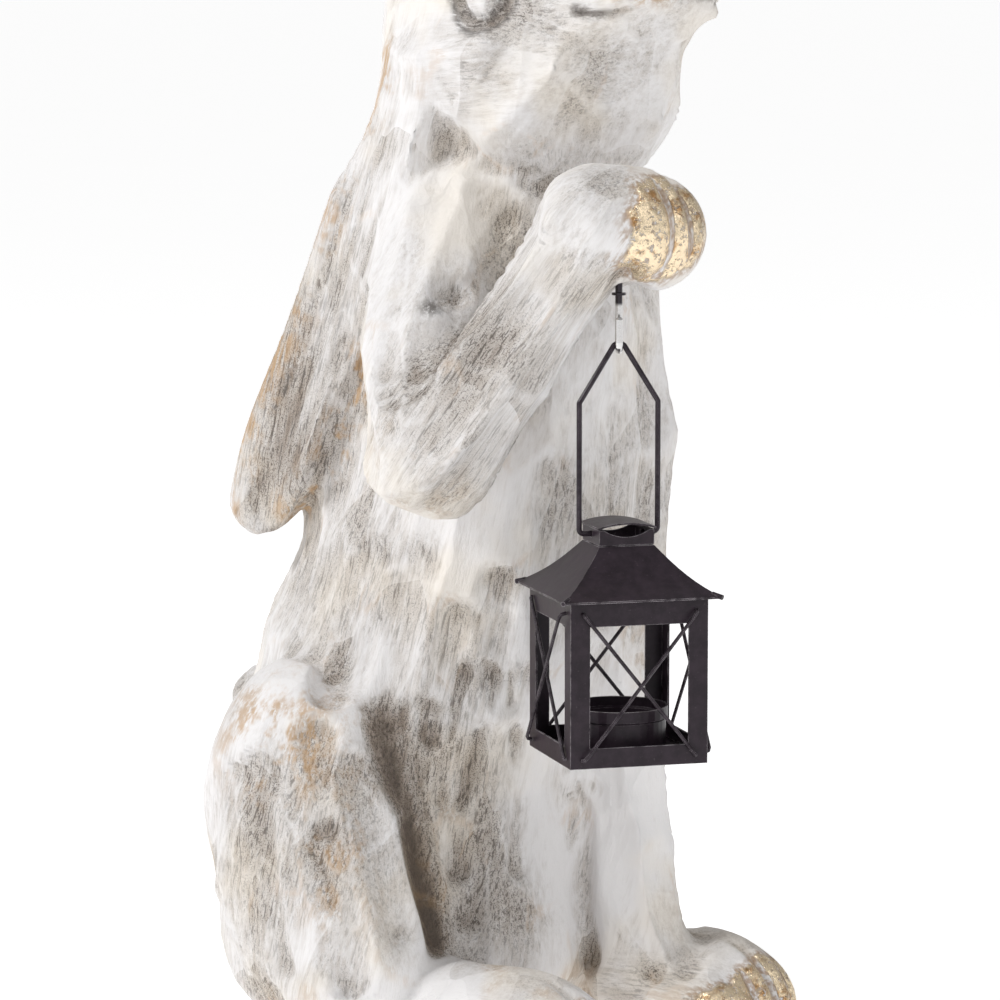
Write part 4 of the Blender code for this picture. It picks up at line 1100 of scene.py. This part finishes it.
    # Gold on the toes, worn through in spots and clean out of the grooves, in a brown border
    gilt = s.math("ADD", s.attribute("gold"), s.centred(patch, 0.9))
    border = s.math("MULTIPLY", s.ramp(gilt, 0.20, 0.36), s.ramp(streak, 0.40, 0.56))
    colour = s.mix(s.math("MULTIPLY", border, 0.7), colour, GOLD_BORDER)
    gilt = s.ramp(gilt, 0.34, 0.42)
    gilt = s.math("MULTIPLY", gilt, s.ramp(s.attribute("narrow"), 0.30, 0.05))
    gilt = s.math("MULTIPLY", gilt, s.ramp(s.noise(at, 420.0, 3.0, 0.7), 0.66, 0.54))
    tarnish = s.ramp(s.noise(at, 110.0, 5.0, 0.7), 0.50, 0.66)
    colour = s.mix(gilt, colour, s.mix(tarnish, GOLD, TARNISH))

    carved = s.bump(facet, 0.0040, 1.0)
    carved = s.bump(s.math("MULTIPLY", gilt, s.noise(at, 70.0, 2.0, 0.5)), 0.006, 0.6, carved)
    normal = s.bump(streak, 0.0013, 0.55, carved)
    return s.finish(colour, s.blend(gilt, 0.72, 0.26), normal, s.math("MULTIPLY", gilt, 0.9))


def dressed_rabbit():
    """The full-detail figure, which stands for the plain one."""
    rabbit = bpy.data.objects.new("carved_rabbit", figure_mesh())
    bpy.context.scene.collection.objects.link(rabbit)
    rabbit.data.materials.append(washed_casting())
    rabbit.data.shade_smooth()
    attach(rabbit, "figure")
    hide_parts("rabbit")


def black_lacquer():
    """Black lacquer on thin sheet, a little uneven, rubbed in spots, with a painted highlight along its
    edges.
    """
    s = Shader("black_lacquer")
    at = s.position()
    mottle = s.noise(at, 180.0, 4.0, 0.6)
    rubbed = s.ramp(s.noise(at, 700.0, 3.0, 0.7), 0.62, 0.76)
    colour = s.mix(s.ramp(mottle, 0.3, 0.7), *LACQUER)
    colour = s.mix(s.math("MULTIPLY", rubbed, 0.35), colour, RUBBED_LACQUER)
    # Painted highlight: a thin light line along the sheet's edges, where the rounded normal turns from the
    # flat one
    rounded = s.node("ShaderNodeBevel", samples=6)
    rounded.inputs["Radius"].default_value = 0.0007
    turned = s.node("ShaderNodeVectorMath", operation="DOT_PRODUCT")
    s.join(rounded.outputs["Normal"], turned.inputs[0])
    s.join(s.node("ShaderNodeNewGeometry").outputs["Normal"], turned.inputs[1])
    edge = s.math("MULTIPLY", s.ramp(turned.outputs["Value"], 0.97, 0.80), s.ramp(mottle, 0.36, 0.58))
    colour = s.mix(s.math("MULTIPLY", edge, 0.75), colour, PAINTED_EDGE_HIGHLIGHT)
    s.main.inputs["Specular IOR Level"].default_value = 0.25
    return s.finish(colour, s.blend(mottle, 0.30, 0.46), s.bump(mottle, 0.0004, 0.25))


def bright_plating():
    """Bright plated wire with fine draw marks, dark on the hook's stem."""
    s = Shader("bright_plating")
    at = s.position()
    marks = s.noise(at, 900.0, 3.0, 0.6)
    colour = s.mix(marks, *PLATING)
    stem = s.ramp(s.along(at, (0.0, 0.0, 1.0)), *HOOK_STEM_HEIGHTS)
    colour = s.mix(stem, colour, HOOK_STEM)
    return s.finish(colour, s.blend(marks, 0.12, 0.24), s.bump(marks, 0.0002, 0.2), 1.0)


def dress_lantern():
    """Materials for the nodes that keep their own shape."""
    lacquer = black_lacquer()
    plating = bright_plating()
    for name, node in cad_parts.items():
        if name == "rabbit":
            continue
        node.data.materials.clear()
        node.data.materials.append(plating if name == "screw_hook" else lacquer)


AIM = Vector((0.0, 0.0, 0.238))
CAMERA_AZIMUTH = -47.0
CAMERA_ELEVATION = 7.2
CAMERA_DISTANCE = 2.0
SENSOR_WIDTH = 36.0
VIEW_WIDTH = 0.444
FLOOR_REACH = 90.0
FLOOR_GLOW = 0.6
SKY_STRENGTH = 0.42
# Lamps: name, azimuth and elevation in degrees, distance and size in metres, power in watts
LAMPS = (
    ("key", -122, 40, 2.4, 0.45, 31.0),
    ("fill", -15, 32, 3.0, 1.2, 14.0),
)


def direction(azimuth, elevation):
    """The way from the object towards something at an azimuth and a height, in degrees."""
    a = math.radians(azimuth)
    e = math.radians(elevation)
    return Vector((math.sin(a) * math.cos(e), -math.cos(a) * math.cos(e), math.sin(e)))


def pale_floor():
    """A pale floor to the horizon, which glows a little."""
    shape = bmesh.new()
    bmesh.ops.create_grid(shape, x_segments=8, y_segments=8, size=FLOOR_REACH)
    mesh = bpy.data.meshes.new("floor")
    shape.to_mesh(mesh)
    shape.free()
    floor = bpy.data.objects.new("floor", mesh)
    bpy.context.scene.collection.objects.link(floor)
    s = Shader("pale_floor")
    tone = s.mix(s.noise(s.position(), 3.0), (0.86, 0.86, 0.86), (0.88, 0.88, 0.88))
    s.finish(tone, 0.9)
    s.main.inputs["Emission Color"].default_value = (1.0, 1.0, 1.0, 1.0)
    s.main.inputs["Emission Strength"].default_value = FLOOR_GLOW
    mesh.materials.append(s.material)


def soft_light():
    """An even sky and two large soft lamps."""
    world = bpy.data.worlds.new("studio")
    bpy.context.scene.world = world
    world.use_nodes = True
    sky = world.node_tree.nodes["Background"]
    sky.inputs["Color"].default_value = (1.0, 1.0, 1.0, 1.0)
    sky.inputs["Strength"].default_value = SKY_STRENGTH
    for name, azimuth, elevation, distance, size, power in LAMPS:
        lamp = bpy.data.lights.new(name, "AREA")
        lamp.size = size
        lamp.energy = power
        held = bpy.data.objects.new(name, lamp)
        bpy.context.scene.collection.objects.link(held)
        held.location = AIM + direction(azimuth, elevation) * distance
        held.rotation_mode = "QUATERNION"
        held.rotation_quaternion = direction(azimuth, elevation).to_track_quat("Z", "Y")


def set_camera():
    """The camera at the photograph's angle."""
    lens = bpy.data.cameras.new("camera")
    lens.sensor_width = SENSOR_WIDTH
    lens.lens = SENSOR_WIDTH * CAMERA_DISTANCE / VIEW_WIDTH
    lens.clip_end = 200.0
    camera = bpy.data.objects.new("camera", lens)
    bpy.context.scene.collection.objects.link(camera)
    away = direction(CAMERA_AZIMUTH, CAMERA_ELEVATION)
    camera.location = AIM + away * CAMERA_DISTANCE
    camera.rotation_mode = "QUATERNION"
    camera.rotation_quaternion = (-away).to_track_quat("-Z", "Y")
    bpy.context.scene.camera = camera


bpy.context.scene.view_settings.view_transform = "Standard"
set_camera()
pale_floor()
soft_light()
dressed_rabbit()
dress_lantern()
